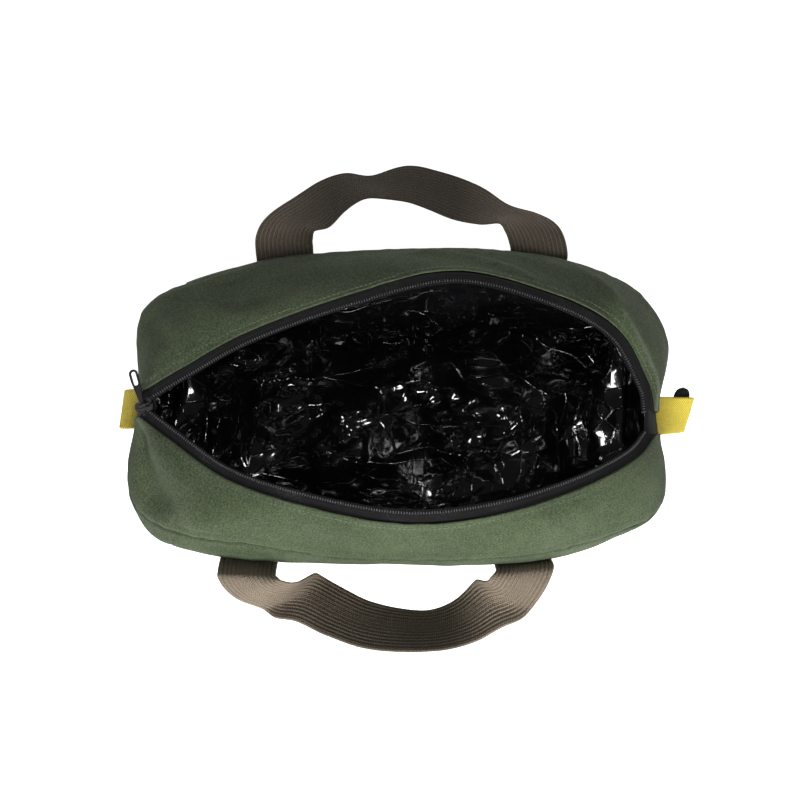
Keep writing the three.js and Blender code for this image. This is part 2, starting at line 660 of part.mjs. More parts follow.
function tab(settings) {
  const { front, back } = tabFrame(settings);
  const straight = settings.length - TAB_FOLD_RADIUS;
  const bend = Math.PI * TAB_FOLD_RADIUS;
  const whole = 2 * straight + bend;
  const pointAt = (u, v) => {
    const root = front.root.clone().lerp(back.root, v);
    const fold = front.fold.clone().lerp(back.fold, v);
    const out = fold.clone().sub(root).normalize();
    const up = new THREE.Vector3(-out.z * settings.side, 0, out.x * settings.side).normalize();
    const run = u * whole;
    const half = (share) => lerp(TAB_ROOT_HALF, TAB_FOLD_RADIUS, THREE.MathUtils.smoothstep(share, 0, 1));
    if (run < straight)
      return root.lerp(fold, run / straight).addScaledVector(up, half(run / straight));
    if (run > straight + bend) {
      const share = (whole - run) / straight;
      return root.lerp(fold, share).addScaledVector(up, -half(share));
    }
    const angle = (run - straight) / TAB_FOLD_RADIUS;
    fold.addScaledVector(up, TAB_FOLD_RADIUS * Math.cos(angle));
    return fold.addScaledVector(out, TAB_FOLD_RADIUS * Math.sin(angle));
  };
  return sheet(pointAt, TAB_GRID, TAB_WEBBING);
}

addPiece("end_tab_left", tab(TAB_LEFT), WEBBING_YELLOW);
addPiece("end_tab_right", tab(TAB_RIGHT), WEBBING_YELLOW);

// Zip tail: the doubled end of the tape, caught in the fold of the right tab and standing out behind it.
const tailSeat = tabFrame(TAB_RIGHT);
function tailPoint(u, v) {
  const share = lerp(TAIL.from, TAIL.to, u);
  const beyond = Math.max(0, (share - 1) / (TAIL.to - 1));
  const half = TAIL.half * Math.sqrt(Math.max(TAIL.blunt, 1 - beyond ** 2));
  const run = (TAIL.middle + (2 * v - 1) * half) / (TAB_RIGHT.length - TAB_FOLD_RADIUS);
  const front = tailSeat.front.root.clone().lerp(tailSeat.front.fold, run);
  const back = tailSeat.back.root.clone().lerp(tailSeat.back.fold, run);
  const point = front.lerp(back, share);
  point.z -= TAIL.curl * beyond ** 2;
  return point;
}
addPiece("zip_tail", sheet(tailPoint, TAIL_GRID, TAIL.thickness), ZIP_BLACK);

// Slider: two plates held together by a post between the tapes, with a bail on top for the pull.
const ROUND_SIDES = 14;
const NOSE_SHARE = 0.7; // the nose's radius as a share of half the slider's width

function roundedPlate(length, width, depth) {
  const [x, y, r] = [length / 2, width / 2, SLIDER.corner];
  const noseRadius = y * NOSE_SHARE;
  const outline = new THREE.Shape();
  outline.moveTo(-x + r, -y);
  outline.lineTo(x - r, -y);
  outline.absarc(x - r, -y + r, r, -Math.PI / 2, 0);
  outline.absarc(x - r, y - r, r, 0, Math.PI / 2);
  outline.lineTo(-x + r, noseRadius);
  outline.absarc(-x + r, 0, noseRadius, Math.PI / 2, (3 * Math.PI) / 2);
  return new THREE.ExtrudeGeometry(outline, { depth, bevelEnabled: false, curveSegments: 4 });
}

const sliderGroup = new THREE.Group();
sliderGroup.position.set(SLIDER.x, SLIDER.y, SLIDER_TOP);
sliderGroup.rotation.set(0, -radians(SLIDER.pitch), radians(SLIDER.turn), "ZYX");
bag.add(sliderGroup);

const upperPlate = roundedPlate(SLIDER.length, SLIDER.width, SLIDER.plate);
const lowerPlate = roundedPlate(SLIDER.length, SLIDER.width, SLIDER.plate);
lowerPlate.translate(0, 0, SLIDER_BOTTOM - SLIDER_TOP - SLIDER.plate);
const postHeight = SLIDER_TOP - SLIDER_BOTTOM + SLIDER.plate;
const post = new THREE.CylinderGeometry(POST_RADIUS, POST_RADIUS, postHeight, ROUND_SIDES);
post.rotateX(Math.PI / 2);
post.translate(POST_FORWARD, 0, (SLIDER_BOTTOM - SLIDER_TOP) / 2);
const bailHeight = SLIDER.plate + BAIL.height;
const bailRod = new THREE.CylinderGeometry(BAIL.rod, BAIL.rod, 2 * BAIL.halfLength, ROUND_SIDES);
bailRod.rotateZ(Math.PI / 2);
bailRod.translate(0, 0, bailHeight);
const bailLegs = [-1, 1].map((end) => {
  const height = BAIL.height + BAIL.rod + SLIDER.plate / 2;
  const leg = new THREE.BoxGeometry(BAIL.leg, 2 * BAIL.leg, height);
  leg.translate(end * (BAIL.halfLength + BAIL.leg / 2 - BAIL.overlap), 0, SLIDER.plate / 2 + height / 2);
  return leg;
});
const slider = joined(upperPlate, lowerPlate, post, bailRod, ...bailLegs);
addPiece("zip_slider", fromManifold(slider), SLIDER_BLACK, sliderGroup);

// Pull: a barrel round the bail's rod, with a flat tongue that ends in an open loop.
const pullGroup = new THREE.Group();
pullGroup.position.set(0, 0, bailHeight);
pullGroup.rotation.x = radians(-PULL.droop);
sliderGroup.add(pullGroup);

const barrelProfile = [
  [BARREL.inner, -BARREL.halfLength],
  [BARREL.outer, -BARREL.halfLength],
  [BARREL.outer, BARREL.halfLength],
  [BARREL.inner, BARREL.halfLength],
  [BARREL.inner, -BARREL.halfLength],
].map(([r, h]) => new THREE.Vector2(r, h));
const barrel = new THREE.LatheGeometry(barrelProfile, ROUND_SIDES);
barrel.rotateZ(Math.PI / 2);

function pullOutline() {
  const [neck, half] = [PULL.neck / 2, PULL.width / 2];
  const start = (BARREL.outer + BARREL.inner) / 2;
  const loopMiddle = PULL.length - half;
  const outline = new THREE.Shape();
  outline.moveTo(-neck, start);
  outline.lineTo(neck, start);
  outline.lineTo(neck, start + PULL.neckLength);
  outline.lineTo(half, loopMiddle - PULL_SLOT.length / 2);
  outline.absarc(0, loopMiddle, half, 0, Math.PI);
  outline.lineTo(-half, loopMiddle - PULL_SLOT.length / 2);
  outline.lineTo(-neck, start + PULL.neckLength);
  const slot = new THREE.Path();
  const slotHalf = PULL_SLOT.width / 2;
  slot.absarc(0, loopMiddle, slotHalf, 0, Math.PI);
  slot.absarc(0, loopMiddle - PULL_SLOT.length + PULL_SLOT.width, slotHalf, Math.PI, 2 * Math.PI);
  outline.holes.push(slot);
  return outline;
}

const tongue = new THREE.ExtrudeGeometry(pullOutline(), {
  depth: PULL.thickness,
  bevelEnabled: false,
  curveSegments: 6,
});
tongue.translate(0, 0, -PULL.thickness / 2);
addPiece("zip_pull", fromManifold(joined(barrel, tongue)), SLIDER_BLACK, pullGroup);

export default bag;
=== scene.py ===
# %% [markdown]
# # A canvas tool bag
# The frame holds the bag as plain solids of the right size. This lesson dresses them: each solid gets a finer
# piece of cloth, film, webbing or metal in the same place, and each finish is made from shader nodes.
# All objects are in metres in the frame's own axes: X along the bag, Y to the back, Z up from the floor.

# %% Load the frame
import math

import bpy
import numpy as np
from mathutils import Matrix, Vector


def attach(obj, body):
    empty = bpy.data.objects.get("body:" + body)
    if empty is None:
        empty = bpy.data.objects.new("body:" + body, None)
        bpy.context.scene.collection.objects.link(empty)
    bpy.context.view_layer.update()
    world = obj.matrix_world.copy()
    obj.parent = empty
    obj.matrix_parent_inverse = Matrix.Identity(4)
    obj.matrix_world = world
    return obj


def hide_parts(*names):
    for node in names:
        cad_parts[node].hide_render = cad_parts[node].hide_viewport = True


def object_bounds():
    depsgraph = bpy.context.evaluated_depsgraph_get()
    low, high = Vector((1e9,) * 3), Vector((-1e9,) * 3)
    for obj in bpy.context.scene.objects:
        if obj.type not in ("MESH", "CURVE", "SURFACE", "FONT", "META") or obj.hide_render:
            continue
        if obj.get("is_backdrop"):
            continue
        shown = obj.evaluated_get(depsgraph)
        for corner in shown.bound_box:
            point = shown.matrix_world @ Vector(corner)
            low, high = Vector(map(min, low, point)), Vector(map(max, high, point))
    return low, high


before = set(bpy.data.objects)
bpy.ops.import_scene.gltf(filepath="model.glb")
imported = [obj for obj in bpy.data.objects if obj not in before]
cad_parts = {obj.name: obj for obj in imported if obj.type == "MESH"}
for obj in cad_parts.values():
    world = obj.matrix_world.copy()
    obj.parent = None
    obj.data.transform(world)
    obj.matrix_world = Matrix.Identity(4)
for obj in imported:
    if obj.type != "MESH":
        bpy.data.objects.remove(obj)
cad_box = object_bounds()
MM = 0.001  # the sizes below are written in millimetres

# %% [markdown]
# ## Camera
# The bag is looked at from nearly straight above, leaning a little to the front. A camera is an object whose
# -Z axis is the line of sight, so one turn that points its Z axis away from the bag sets the whole view.

# %% Camera
TARGET = Vector((2, 3.3, 148)) * MM
VIEW_DISTANCE = 1150 * MM
VIEW_ELEVATION = math.radians(85)
VIEW_ANGLE = math.radians(26.06)

camera = bpy.data.objects.new("camera", bpy.data.cameras.new("camera"))
camera.data.angle = VIEW_ANGLE
away = Vector((0, -math.cos(VIEW_ELEVATION), math.sin(VIEW_ELEVATION)))
camera.location = TARGET + VIEW_DISTANCE * away
camera.rotation_euler = away.to_track_quat("Z", "Y").to_euler()
bpy.context.scene.collection.objects.link(camera)
bpy.context.scene.camera = camera
print("camera at", [round(x, 3) for x in camera.location])

# %% [markdown]
# ## Floor and light
# One soft lamp close in front lights the bag: its front is bright, its back about a third as bright and both
# ends are dark. A wide lamp overhead fills in. Three narrow ones show in gloss only, so they give the film
# its glints and leave the cloth alone. The floor glows a little, which makes white paper of it, and the plain
# view transform keeps it white.

# %% Floor and light
FLOOR_HALF = 12.0
PAPER_GREY, PAPER_ROUGHNESS, PAPER_GLOW = 0.86, 0.8, 0.92
WHITE = (1, 1, 1, 1)
LAMPS = [
    # name, place in metres, width and height in metres, watts, lights matt surfaces, shows in gloss
    ("key_lamp", (0.04, -0.75, 0.62), (0.5, 0.35), 11, True, True),
    ("top_lamp", (0.2, -0.1, 1.9), (1.2, 1.2), 9, True, False),
    ("left_strip", (-1.05, -0.35, 1.15), (0.2, 0.8), 15, False, True),
    ("right_strip", (1.0, 0.3, 1.25), (0.2, 0.8), 15, False, True),
    ("back_strip", (-0.2, 1.0, 1.3), (0.8, 0.2), 15, False, True),
]
SKY_STRENGTH = 0.06


def set_inputs(node, **values):
    """Sets a node's own sockets. In their names an underscore stands for a space."""
    for key, value in values.items():
        node.inputs[key.replace("_", " ")].default_value = value


floor_mesh = bpy.data.meshes.new("floor")
corners = [(-1, -1), (1, -1), (1, 1), (-1, 1)]
floor_mesh.from_pydata([(FLOOR_HALF * x, FLOOR_HALF * y, 0) for x, y in corners], [], [(0, 1, 2, 3)])
floor = bpy.data.objects.new("floor", floor_mesh)
bpy.context.scene.collection.objects.link(floor)
floor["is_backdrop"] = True

paper = bpy.data.materials.new("pale_floor")
paper.use_nodes = True
set_inputs(
    paper.node_tree.nodes["Principled BSDF"], Base_Color=(PAPER_GREY,) * 3 + (1,), Roughness=PAPER_ROUGHNESS,
    Emission_Color=WHITE, Emission_Strength=PAPER_GLOW)
floor_mesh.materials.append(paper)

for name, place, size, watts, on_matt, in_gloss in LAMPS:
    lamp = bpy.data.lights.new(name, "AREA")
    lamp.shape = "RECTANGLE"
    lamp.size, lamp.size_y = size
    lamp.energy = watts
    lamp_object = bpy.data.objects.new(name, lamp)
    lamp_object.location = place
    lamp_object.visible_diffuse, lamp_object.visible_glossy = on_matt, in_gloss
    lamp_object.rotation_euler = (Vector(place) - TARGET).to_track_quat("Z", "Y").to_euler()
    bpy.context.scene.collection.objects.link(lamp_object)

sky = bpy.data.worlds.new("sky")
sky.use_nodes = True
set_inputs(sky.node_tree.nodes["Background"], Color=WHITE, Strength=SKY_STRENGTH)
bpy.context.scene.world = sky
bpy.context.scene.view_settings.view_transform = "Standard"
print("lamps", [lamp[0] for lamp in LAMPS])

# %% [markdown]
# ## Shader helpers
# Materials here are written as code. One helper adds a node and fills or links its inputs, others do sums,
# mix colours and stretch values. A node group is a small tree with named sockets, so weave or dust is made
# only once.

# %% Shader helpers
def add(tree, kind, values=(), **settings):
    """Adds a node. values are its inputs, in order or by name: numbers, colours or other nodes' sockets."""
    made = tree.nodes.new("ShaderNode" + kind)
    for key, value in settings.items():
        setattr(made, key, value)
    for key, value in values.items() if isinstance(values, dict) else enumerate(values):
        if isinstance(value, bpy.types.NodeSocket):
            tree.links.new(value, made.inputs[key])
        else:
            made.inputs[key].default_value = value
    return made


def sums(tree, operation, *values):
    return add(tree, "Math", values, operation=operation).outputs[0]


def mixed(tree, share, first, second):
    """A colour between two others."""
    return add(tree, "Mix", {0: share, 6: first, 7: second}, data_type="RGBA", blend_type="MIX").outputs[2]


def tinted(tree, colour, mask, share, tint):
    """A colour turned towards a tint by a share, where a mask is 1."""
    return mixed(tree, sums(tree, "MULTIPLY", mask, share), colour, tint)


def remap(tree, value, low, high, to_low=0.0, to_high=1.0, **settings):
    """Stretches a value so that low and high become two other values, and stops there."""
    return add(tree, "MapRange", {0: value, 1: low, 2: high, 3: to_low, 4: to_high}, **settings).outputs[0]


def ripple(tree, steps):
    """A row of rounded humps, one to each whole step."""
    return sums(tree, "ABSOLUTE", sums(tree, "SINE", sums(tree, "MULTIPLY", steps, math.pi)))


def in_steps(tree, place, size):
    """A place counted in steps of a size."""
    scale = sums(tree, "DIVIDE", 1.0, size)
    return add(tree, "VectorMath", {0: place, "Scale": scale}, operation="SCALE").outputs[0]


def new_group(name, inputs, outputs):
    """An empty shader group. inputs are name, kind and default; outputs are names of plain values."""
    tree = bpy.data.node_groups.new(name, "ShaderNodeTree")
    for label, kind, default in inputs:
        socket = tree.interface.new_socket(label, in_out="INPUT", socket_type="NodeSocket" + kind)
        if default is not None:
            socket.default_value = default
    for label in outputs:
        tree.interface.new_socket(label, in_out="OUTPUT", socket_type="NodeSocketFloat")
    return tree, tree.nodes.new("NodeGroupInput").outputs, tree.nodes.new("NodeGroupOutput").inputs


def place_group(tree, group, **values):
    """Puts a group into a material, with its own values."""
    return add(tree, "Group", values, node_tree=group).outputs


def new_material(name, **constants):
    """A material with one Principled shader, and the flat place of each point on its cloth, in metres."""
    material = bpy.data.materials.new(name)
    material.use_nodes = True
    tree = material.node_tree
    shader = tree.nodes["Principled BSDF"]
    set_inputs(shader, **constants)
    return material, tree, shader, add(tree, "UVMap", uv_map="UVMap").outputs[0]


def raise_surface(tree, shader, height, distance, normal=None):
    """Bumps the surface by a height from 0 to 1 of a distance in metres. A normal turns it first."""
    bump = add(tree, "Bump", {"Height": height, "Distance": distance, "Strength": 1.0})
    if normal is not None:
        tree.links.new(normal, bump.inputs["Normal"])
    tree.links.new(bump.outputs[0], shader.inputs["Normal"])


# %% [markdown]
# ## Shared effects
# Canvas, tape and webbing are all woven, so one group makes crossing threads: each cell of a checker shows
# either the thread that runs along or the one across. Uneven yarn gives cloth its streaks, so a second group
# stretches noise along both directions. A third reads how sharply the cloth bends, which each sheet below
# stores as "crease": raised edges rub pale with wear, and grooves and seams get painted shade, a darker
# colour where shade falls. Dust is a fine speckle.

# %% Thread and yarn groups
woven, start, end = new_group(
    "woven_threads", [("Place", "Vector", None), ("Spacing", "Float", 0.0006)], ["Height"])
split = add(woven, "SeparateXYZ", [in_steps(woven, start["Place"], start["Spacing"])]).outputs
rounds = [ripple(woven, split[i]) for i in (0, 1)]
cells = sums(woven, "ADD", sums(woven, "FLOOR", split[0]), sums(woven, "FLOOR", split[1]))
parity = sums(woven, "FLOORED_MODULO", cells, 2.0)
under = [sums(woven, "MULTIPLY_ADD", rounds[i], 0.5, 0.5) for i in (0, 1)]
along = sums(woven, "MULTIPLY", rounds[0], under[1])
across = sums(woven, "MULTIPLY", rounds[1], under[0])
chosen = add(woven, "Mix", {0: parity, 2: along, 3: across}, data_type="FLOAT").outputs[0]
woven.links.new(chosen, end["Height"])

NOISE_APART = 7.0
yarn, start, end = new_group(
    "uneven_yarn",
    [("Place", "Vector", None), ("Length", "Float", 0.016), ("Width", "Float", 0.0012)],
    ["Shade"])
split = add(yarn, "SeparateXYZ", [start["Place"]]).outputs
streaks = []
for one, other in ((0, 1), (1, 0)):
    far = sums(yarn, "DIVIDE", split[one], start["Length"])
    near = sums(yarn, "DIVIDE", split[other], start["Width"])
    place = add(yarn, "CombineXYZ", [far, near, NOISE_APART * one]).outputs[0]
    streaks.append(add(yarn, "TexNoise", {"Vector": place, "Scale": 1.0, "Detail": 2.0}).outputs[0])
yarn.links.new(sums(yarn, "MULTIPLY", sums(yarn, "ADD", *streaks), 0.5), end["Shade"])

# %% Crease and dust groups
# crease group: Raised pales ridges with wear, the second output is painted shade darkening grooves and seams
creases, start, end = new_group("rubbed_and_shaded_creases", [("Strength", "Float", 6.0)], ["Raised", "Painted_shade"])
bend = add(creases, "Attribute", attribute_name="crease").outputs["Fac"]
bend = sums(creases, "MULTIPLY", bend, start["Strength"])
for label, sign in (("Raised", 1.0), ("Painted_shade", -1.0)):
    one_way = add(creases, "Clamp", [sums(creases, "MULTIPLY", bend, sign), 0.0, 1.0]).outputs[0]
    creases.links.new(one_way, end[label])

fading, start, end = new_group("patchy_fading", [("Size", "Float", 0.05)], ["Shade"])
place = in_steps(fading, add(fading, "TexCoord").outputs["Object"], start["Size"])
clouds = add(fading, "TexNoise", {"Vector": place, "Scale": 1.0, "Detail": 5.0, "Roughness": 0.6})
fading.links.new(clouds.outputs[0], end["Shade"])

dust, start, end = new_group("fine_dust", [("Grain", "Float", 0.0014), ("Amount", "Float", 0.3)], ["Mask"])
place = in_steps(dust, add(dust, "TexCoord").outputs["Object"], start["Grain"])
specks = add(dust, "TexNoise", {"Vector": place, "Scale": 1.0, "Detail": 3.0, "Roughness": 0.7})
clumps = add(dust, "TexNoise", {"Vector": place, "Scale": 0.06, "Detail": 2.0})
both = sums(dust, "MULTIPLY", specks.outputs[0], clumps.outputs[0])
dust.links.new(sums(dust, "MULTIPLY", remap(dust, both, 0.3, 0.5), start["Amount"]), end["Mask"])
print("groups", [group.name for group in bpy.data.node_groups])

# %% [markdown]
# ## Canvas
# The bag is heavy cotton canvas dyed green: matt, a little brushed, mottled where the dye took unevenly.
# Its colour runs between two greens by the yarn and fading groups, then wear pales its raised creases and
# painted shade darkens its grooves and seams. Threads are little more than half a millimetre apart, too fine
# to model, so they are bump.

# %% Canvas
# raised ridges pale with wear; grooves and seams get painted shade, a deeper tone of the cloth's dark colour
RUBBED_SHARE, SUNK_SHADE_SHARE, SUNK_SHADE_DARKNESS = 0.3, 0.6, 0.35
LINT_SHARE, LINT_AMOUNT, LINT_COLOUR = 0.35, 0.2, (0.45, 0.44, 0.4, 1)
MID_GREY = (0.5, 0.5, 0.5, 1)


def linear(red, green, blue):
    """A display colour from 0 to 255 as the linear colour that shaders take."""
    return (*[(c / 255) ** 2.2 for c in (red, green, blue)], 1)


def average(tree, *values):
    total = values[0]
    for value in values[1:]:
        total = sums(tree, "ADD", total, value)
    return sums(tree, "DIVIDE", total, float(len(values)))


def cloth_colour(
        tree, flat_place, dark, light, spacing, slub=(0.009, 0.0011), patch=0.05, rub_and_shade=1.8, knots=0.0):
    """The colour and thread height shared by all woven pieces."""
    threads = place_group(tree, woven, Place=flat_place, Spacing=spacing)["Height"]
    streak = place_group(tree, yarn, Place=flat_place, Length=slub[0], Width=slub[1])["Shade"]
    cloud = place_group(tree, fading, Size=patch)["Shade"]
    nap = place_group(tree, fading, Size=slub[1])["Shade"]
    shade = remap(tree, average(tree, streak, nap, nap, nap, cloud), 0.4, 0.6)
    if knots:
        shade = mixed(tree, knots, shade, threads)
    colour = mixed(tree, shade, dark, light)
    bent = place_group(tree, creases, Strength=rub_and_shade)
    colour = tinted(tree, colour, bent["Raised"], RUBBED_SHARE, mixed(tree, 0.5, light, MID_GREY))
    # painted shade: grooves and seams darkened towards a deeper tone of the dark colour
    painted_shade_colour = tuple(SUNK_SHADE_DARKNESS * c for c in dark[:3]) + (1,)
    colour = tinted(tree, colour, bent["Painted_shade"], SUNK_SHADE_SHARE, painted_shade_colour)
    lint = place_group(tree, dust, Amount=LINT_AMOUNT)["Mask"]
    return tinted(tree, colour, lint, LINT_SHARE, LINT_COLOUR), threads


canvas, tree, shader, flat_place = new_material(
    "canvas", Roughness=0.92, Sheen_Weight=0.02, Sheen_Roughness=0.5, Specular_IOR_Level=0.25)
colour, threads = cloth_colour(tree, flat_place, linear(51, 62, 40), linear(90, 102, 74), 0.0006)
tree.links.new(colour, shader.inputs["Base Color"])
raise_surface(tree, shader, threads, 0.00022)

thread_green, tree, shader, flat_place = new_material("sewing_thread", Roughness=0.7)
colour, threads = cloth_colour(tree, flat_place, linear(70, 82, 58), linear(110, 122, 94), 0.0003)
tree.links.new(colour, shader.inputs["Base Color"])
print("canvas and its thread are ready")

# %% [markdown]
# ## Webbing
# The handles are taupe webbing with thick ribs along it. The ribs are modelled, so the material only adds the
# short weft stitches that cross each rib, the yarn's streaks and painted shade that darkens the handle's
# middle. The end tabs are yellow herringbone twill: slanting ridges that change direction from one column to
# the next.

# %% Handle webbing
RIB_PITCH = 0.038 / 13
MIDDLE_SHADE_SPAN = (0.045, 0.085)  # metres from the handle's middle: where the painted shade starts to fade, where it ends
MIDDLE_SHADE_SHARE = 0.7

handle_webbing, tree, shader, flat_place = new_material(
    "handle_webbing", Roughness=0.78, Sheen_Weight=0.02, Specular_IOR_Level=0.18)
colour, threads = cloth_colour(
    tree, flat_place, linear(77, 66, 53), linear(152, 138, 120), RIB_PITCH / 2, slub=(0.05, 0.0008),
    patch=0.04, rub_and_shade=0.4, knots=0.55)
# painted shade: the handle's middle is darkened towards a deep brown
from_middle = sums(tree, "ABSOLUTE", add(tree, "SeparateXYZ", [flat_place]).outputs[0])
colour = mixed(tree, remap(tree, from_middle, *MIDDLE_SHADE_SPAN, MIDDLE_SHADE_SHARE, 0.0), colour, linear(56, 47, 37))
tree.links.new(colour, shader.inputs["Base Color"])
raise_surface(tree, shader, threads, 0.0004)

thread_taupe, tree, shader, flat_place = new_material("handle_thread", Roughness=0.7)
colour, threads = cloth_colour(tree, flat_place, linear(84, 74, 62), linear(132, 118, 102), 0.0003)
tree.links.new(colour, shader.inputs["Base Color"])

# %% Tab webbing
TWILL_COLUMN = 0.004
TWILL_RIDGE = 0.0016

tab_webbing, tree, shader, flat_place = new_material(
    "tab_webbing", Roughness=0.75, Sheen_Weight=0.02, Specular_IOR_Level=0.35)
split = add(tree, "SeparateXYZ", [flat_place]).outputs
zigzag = sums(tree, "PINGPONG", split[1], TWILL_COLUMN)
ridge = ripple(tree, sums(tree, "DIVIDE", sums(tree, "ADD", split[0], zigzag), TWILL_RIDGE))
streak = place_group(tree, yarn, Place=flat_place, Length=0.008, Width=0.0008)["Shade"]
shade = average(tree, ridge, ridge, remap(tree, streak, 0.3, 0.7))
colour = mixed(tree, shade, linear(187, 138, 16), linear(254, 240, 94))
# painted shade: the tab's creases and its fold darkened to a deeper yellow
bent = place_group(tree, creases, Strength=1.2)
colour = tinted(tree, colour, bent["Painted_shade"], 0.5, linear(120, 88, 18))
grime = place_group(tree, dust, Grain=0.003, Amount=0.8)["Mask"]
tree.links.new(tinted(tree, colour, grime, 0.3, linear(120, 104, 60)), shader.inputs["Base Color"])
raise_surface(tree, shader, ridge, 0.0004)
print("webbings are ready")

# %% [markdown]
# ## Zip and lining
# The tape is tightly woven black cloth with lengthwise ribs. The coil is shiny nylon and the slider metal in
# black lacquer. The lining is thin black film: what the eye reads as film is its small sharp crinkles, each
# with its own glint. So its roughness stays low, and the cells of two patterns lean each its own way, like
# facets: large cells everywhere, small ones where the film is crumpled, most of all at the ends.

# %% Zip materials
zip_tape, tree, shader, flat_place = new_material("zip_tape", Roughness=0.85, Specular_IOR_Level=0.2)
colour, threads = cloth_colour(
    tree, flat_place, linear(10, 10, 12), linear(22, 22, 25), 0.0008, slub=(0.03, 0.0009), rub_and_shade=0.8)
tree.links.new(colour, shader.inputs["Base Color"])
raise_surface(tree, shader, threads, 0.00025)

zip_coil, tree, shader, _ = new_material("zip_coil", Specular_IOR_Level=0.6)
cloud = place_group(tree, fading, Size=0.004)["Shade"]
tree.links.new(mixed(tree, cloud, linear(26, 26, 29), linear(70, 70, 75)), shader.inputs["Base Color"])
tree.links.new(remap(tree, cloud, 0.0, 1.0, 0.25, 0.5), shader.inputs["Roughness"])

slider_metal, tree, shader, _ = new_material(
    "slider_metal", Base_Color=linear(10, 10, 12), Specular_IOR_Level=0.25)
cloud = place_group(tree, fading, Size=0.0015)["Shade"]
tree.links.new(remap(tree, cloud, 0.0, 1.0, 0.32, 0.52), shader.inputs["Roughness"])
print("zip materials are ready")

# %% Lining film
FACETS = [
    # cells to a metre each way, share of a cell that is ridge, how far a facet leans, only where crumpled
    ((22, 48, 30), 0.03, 0.22, False),
    ((95, 50, 70), 0.05, 0.5, True),
]
FILM_SWAY = 0.01
CRUMPLED_FROM, CRUMPLED_TO, CRUMPLED_LEAST = 0.07, 0.14, 0.35  # metres from the middle, and the share there

film, tree, shader, _ = new_material("lining_film", Specular_IOR_Level=0.75)
place = add(tree, "TexCoord").outputs["Object"]
drift = add(tree, "TexNoise", {"Vector": place, "Scale": 30.0, "Detail": 2.0}).outputs["Color"]
swayed = add(tree, "VectorMath", [drift, (FILM_SWAY,) * 3, place], operation="MULTIPLY_ADD").outputs[0]
to_end = sums(tree, "ABSOLUTE", add(tree, "SeparateXYZ", [place]).outputs[0])
to_end = remap(tree, to_end, CRUMPLED_FROM, CRUMPLED_TO, CRUMPLED_LEAST, 1.0)
crumpled = remap(tree, place_group(tree, fading, Size=0.05)["Shade"], 0.44, 0.6)
crumpled = sums(tree, "MULTIPLY", crumpled, to_end)
facing = add(tree, "NewGeometry").outputs["Normal"]
ridges = []
for cells, width, tilt, where_crumpled in FACETS:
    share = crumpled if where_crumpled else 1.0
    stretched = add(tree, "VectorMath", [swayed, cells], operation="MULTIPLY").outputs[0]
    edge = add(tree, "TexVoronoi", {"Vector": stretched, "Scale": 1.0}, feature="DISTANCE_TO_EDGE").outputs[0]
    ridge = remap(tree, edge, 0.0, width, 1.0, 0.0, interpolation_type="SMOOTHSTEP")
    ridges.append(sums(tree, "MULTIPLY", ridge, share))
    facet = add(tree, "TexVoronoi", {"Vector": stretched, "Scale": 1.0}).outputs["Color"]
    lean = add(tree, "VectorMath", [facet, (0.5,) * 3], operation="SUBTRACT").outputs[0]
    tilt = sums(tree, "MULTIPLY", share, tilt)
    lean = add(tree, "VectorMath", {0: lean, "Scale": tilt}, operation="SCALE").outputs[0]
    facing = add(tree, "VectorMath", [facing, lean], operation="ADD").outputs[0]
facing = add(tree, "VectorMath", [facing], operation="NORMALIZE").outputs[0]
raise_surface(tree, shader, sums(tree, "ADD", *ridges), 0.0005, facing)
cloud = place_group(tree, fading, Size=0.03)["Shade"]
lint = place_group(tree, dust, Grain=0.0012, Amount=0.5)["Mask"]
colour = mixed(tree, cloud, linear(14, 14, 15), linear(30, 30, 32))
tree.links.new(tinted(tree, colour, lint, 0.1, linear(120, 118, 112)), shader.inputs["Base Color"])
tree.links.new(remap(tree, cloud, 0.0, 1.0, 0.04, 0.16), shader.inputs["Roughness"])
print("materials", [material.name for material in bpy.data.materials])

# %% [markdown]
# ## Meshes from grids
# Cloth is a grid of points. numpy makes all points of a grid at once, far quicker than a loop in Python.
# cloth_sheet below thickens a grid to a closed sheet with a rounded rim, lays it out flat for its weave, and
# stores how the cloth bends at each point. soft_noise is seeded, so each run gives the same folds.

# %% Grid helpers
def unit(vectors):
    return vectors / np.maximum(np.linalg.norm(vectors, axis=-1, keepdims=True), 1e-12)


def bell(distance, width):
    """1 at no distance, and smoothly less over a width."""
    return np.exp(-((distance / width) ** 2))


def grid_quads(columns, rows, closed=False):
    """The faces of a grid of points. The last column of a closed one meets its first."""
    index = np.arange(columns * rows).reshape(columns, rows)
    ahead = np.roll(index, -1, axis=0)
    if not closed:
        index, ahead = index[:-1], ahead[:-1]
    return np.stack([index[:, :-1], ahead[:, :-1], ahead[:, 1:], index[:, 1:]], axis=-1).reshape(-1, 4)


def grid_normals(points):
    """The direction out of a grid of points, on the side where u turns left into v."""
    return unit(np.cross(np.gradient(points, axis=0), np.gradient(points, axis=1)))


def run_length(points, axis):
    """Distance along the rows or columns of a grid, from its middle."""
    steps = np.linalg.norm(np.diff(points, axis=axis), axis=-1)
    total = np.insert(np.cumsum(steps, axis=axis), 0, 0, axis=axis)
    middle = np.take(total, [total.shape[axis] // 2], axis=axis)
    return total - middle


def bending(points):
    """How sharply a grid bends at each point, in 1/mm: above 0 on ridges, below 0 in grooves."""
    normal = grid_normals(points)
    total = np.zeros(points.shape[:2])
    for axis in (0, 1):
        ahead, behind = (np.roll(points, shift, axis=axis) for shift in (-1, 1))
        step = 0.5 * np.linalg.norm(ahead - behind, axis=-1)
        bend = np.sum((2 * points - ahead - behind) * normal, axis=-1) / np.maximum(step, 0.05) ** 2
        inner = np.moveaxis(bend, axis, 0)
        inner[0], inner[-1] = inner[1], inner[-2]
        total += bend
    return total


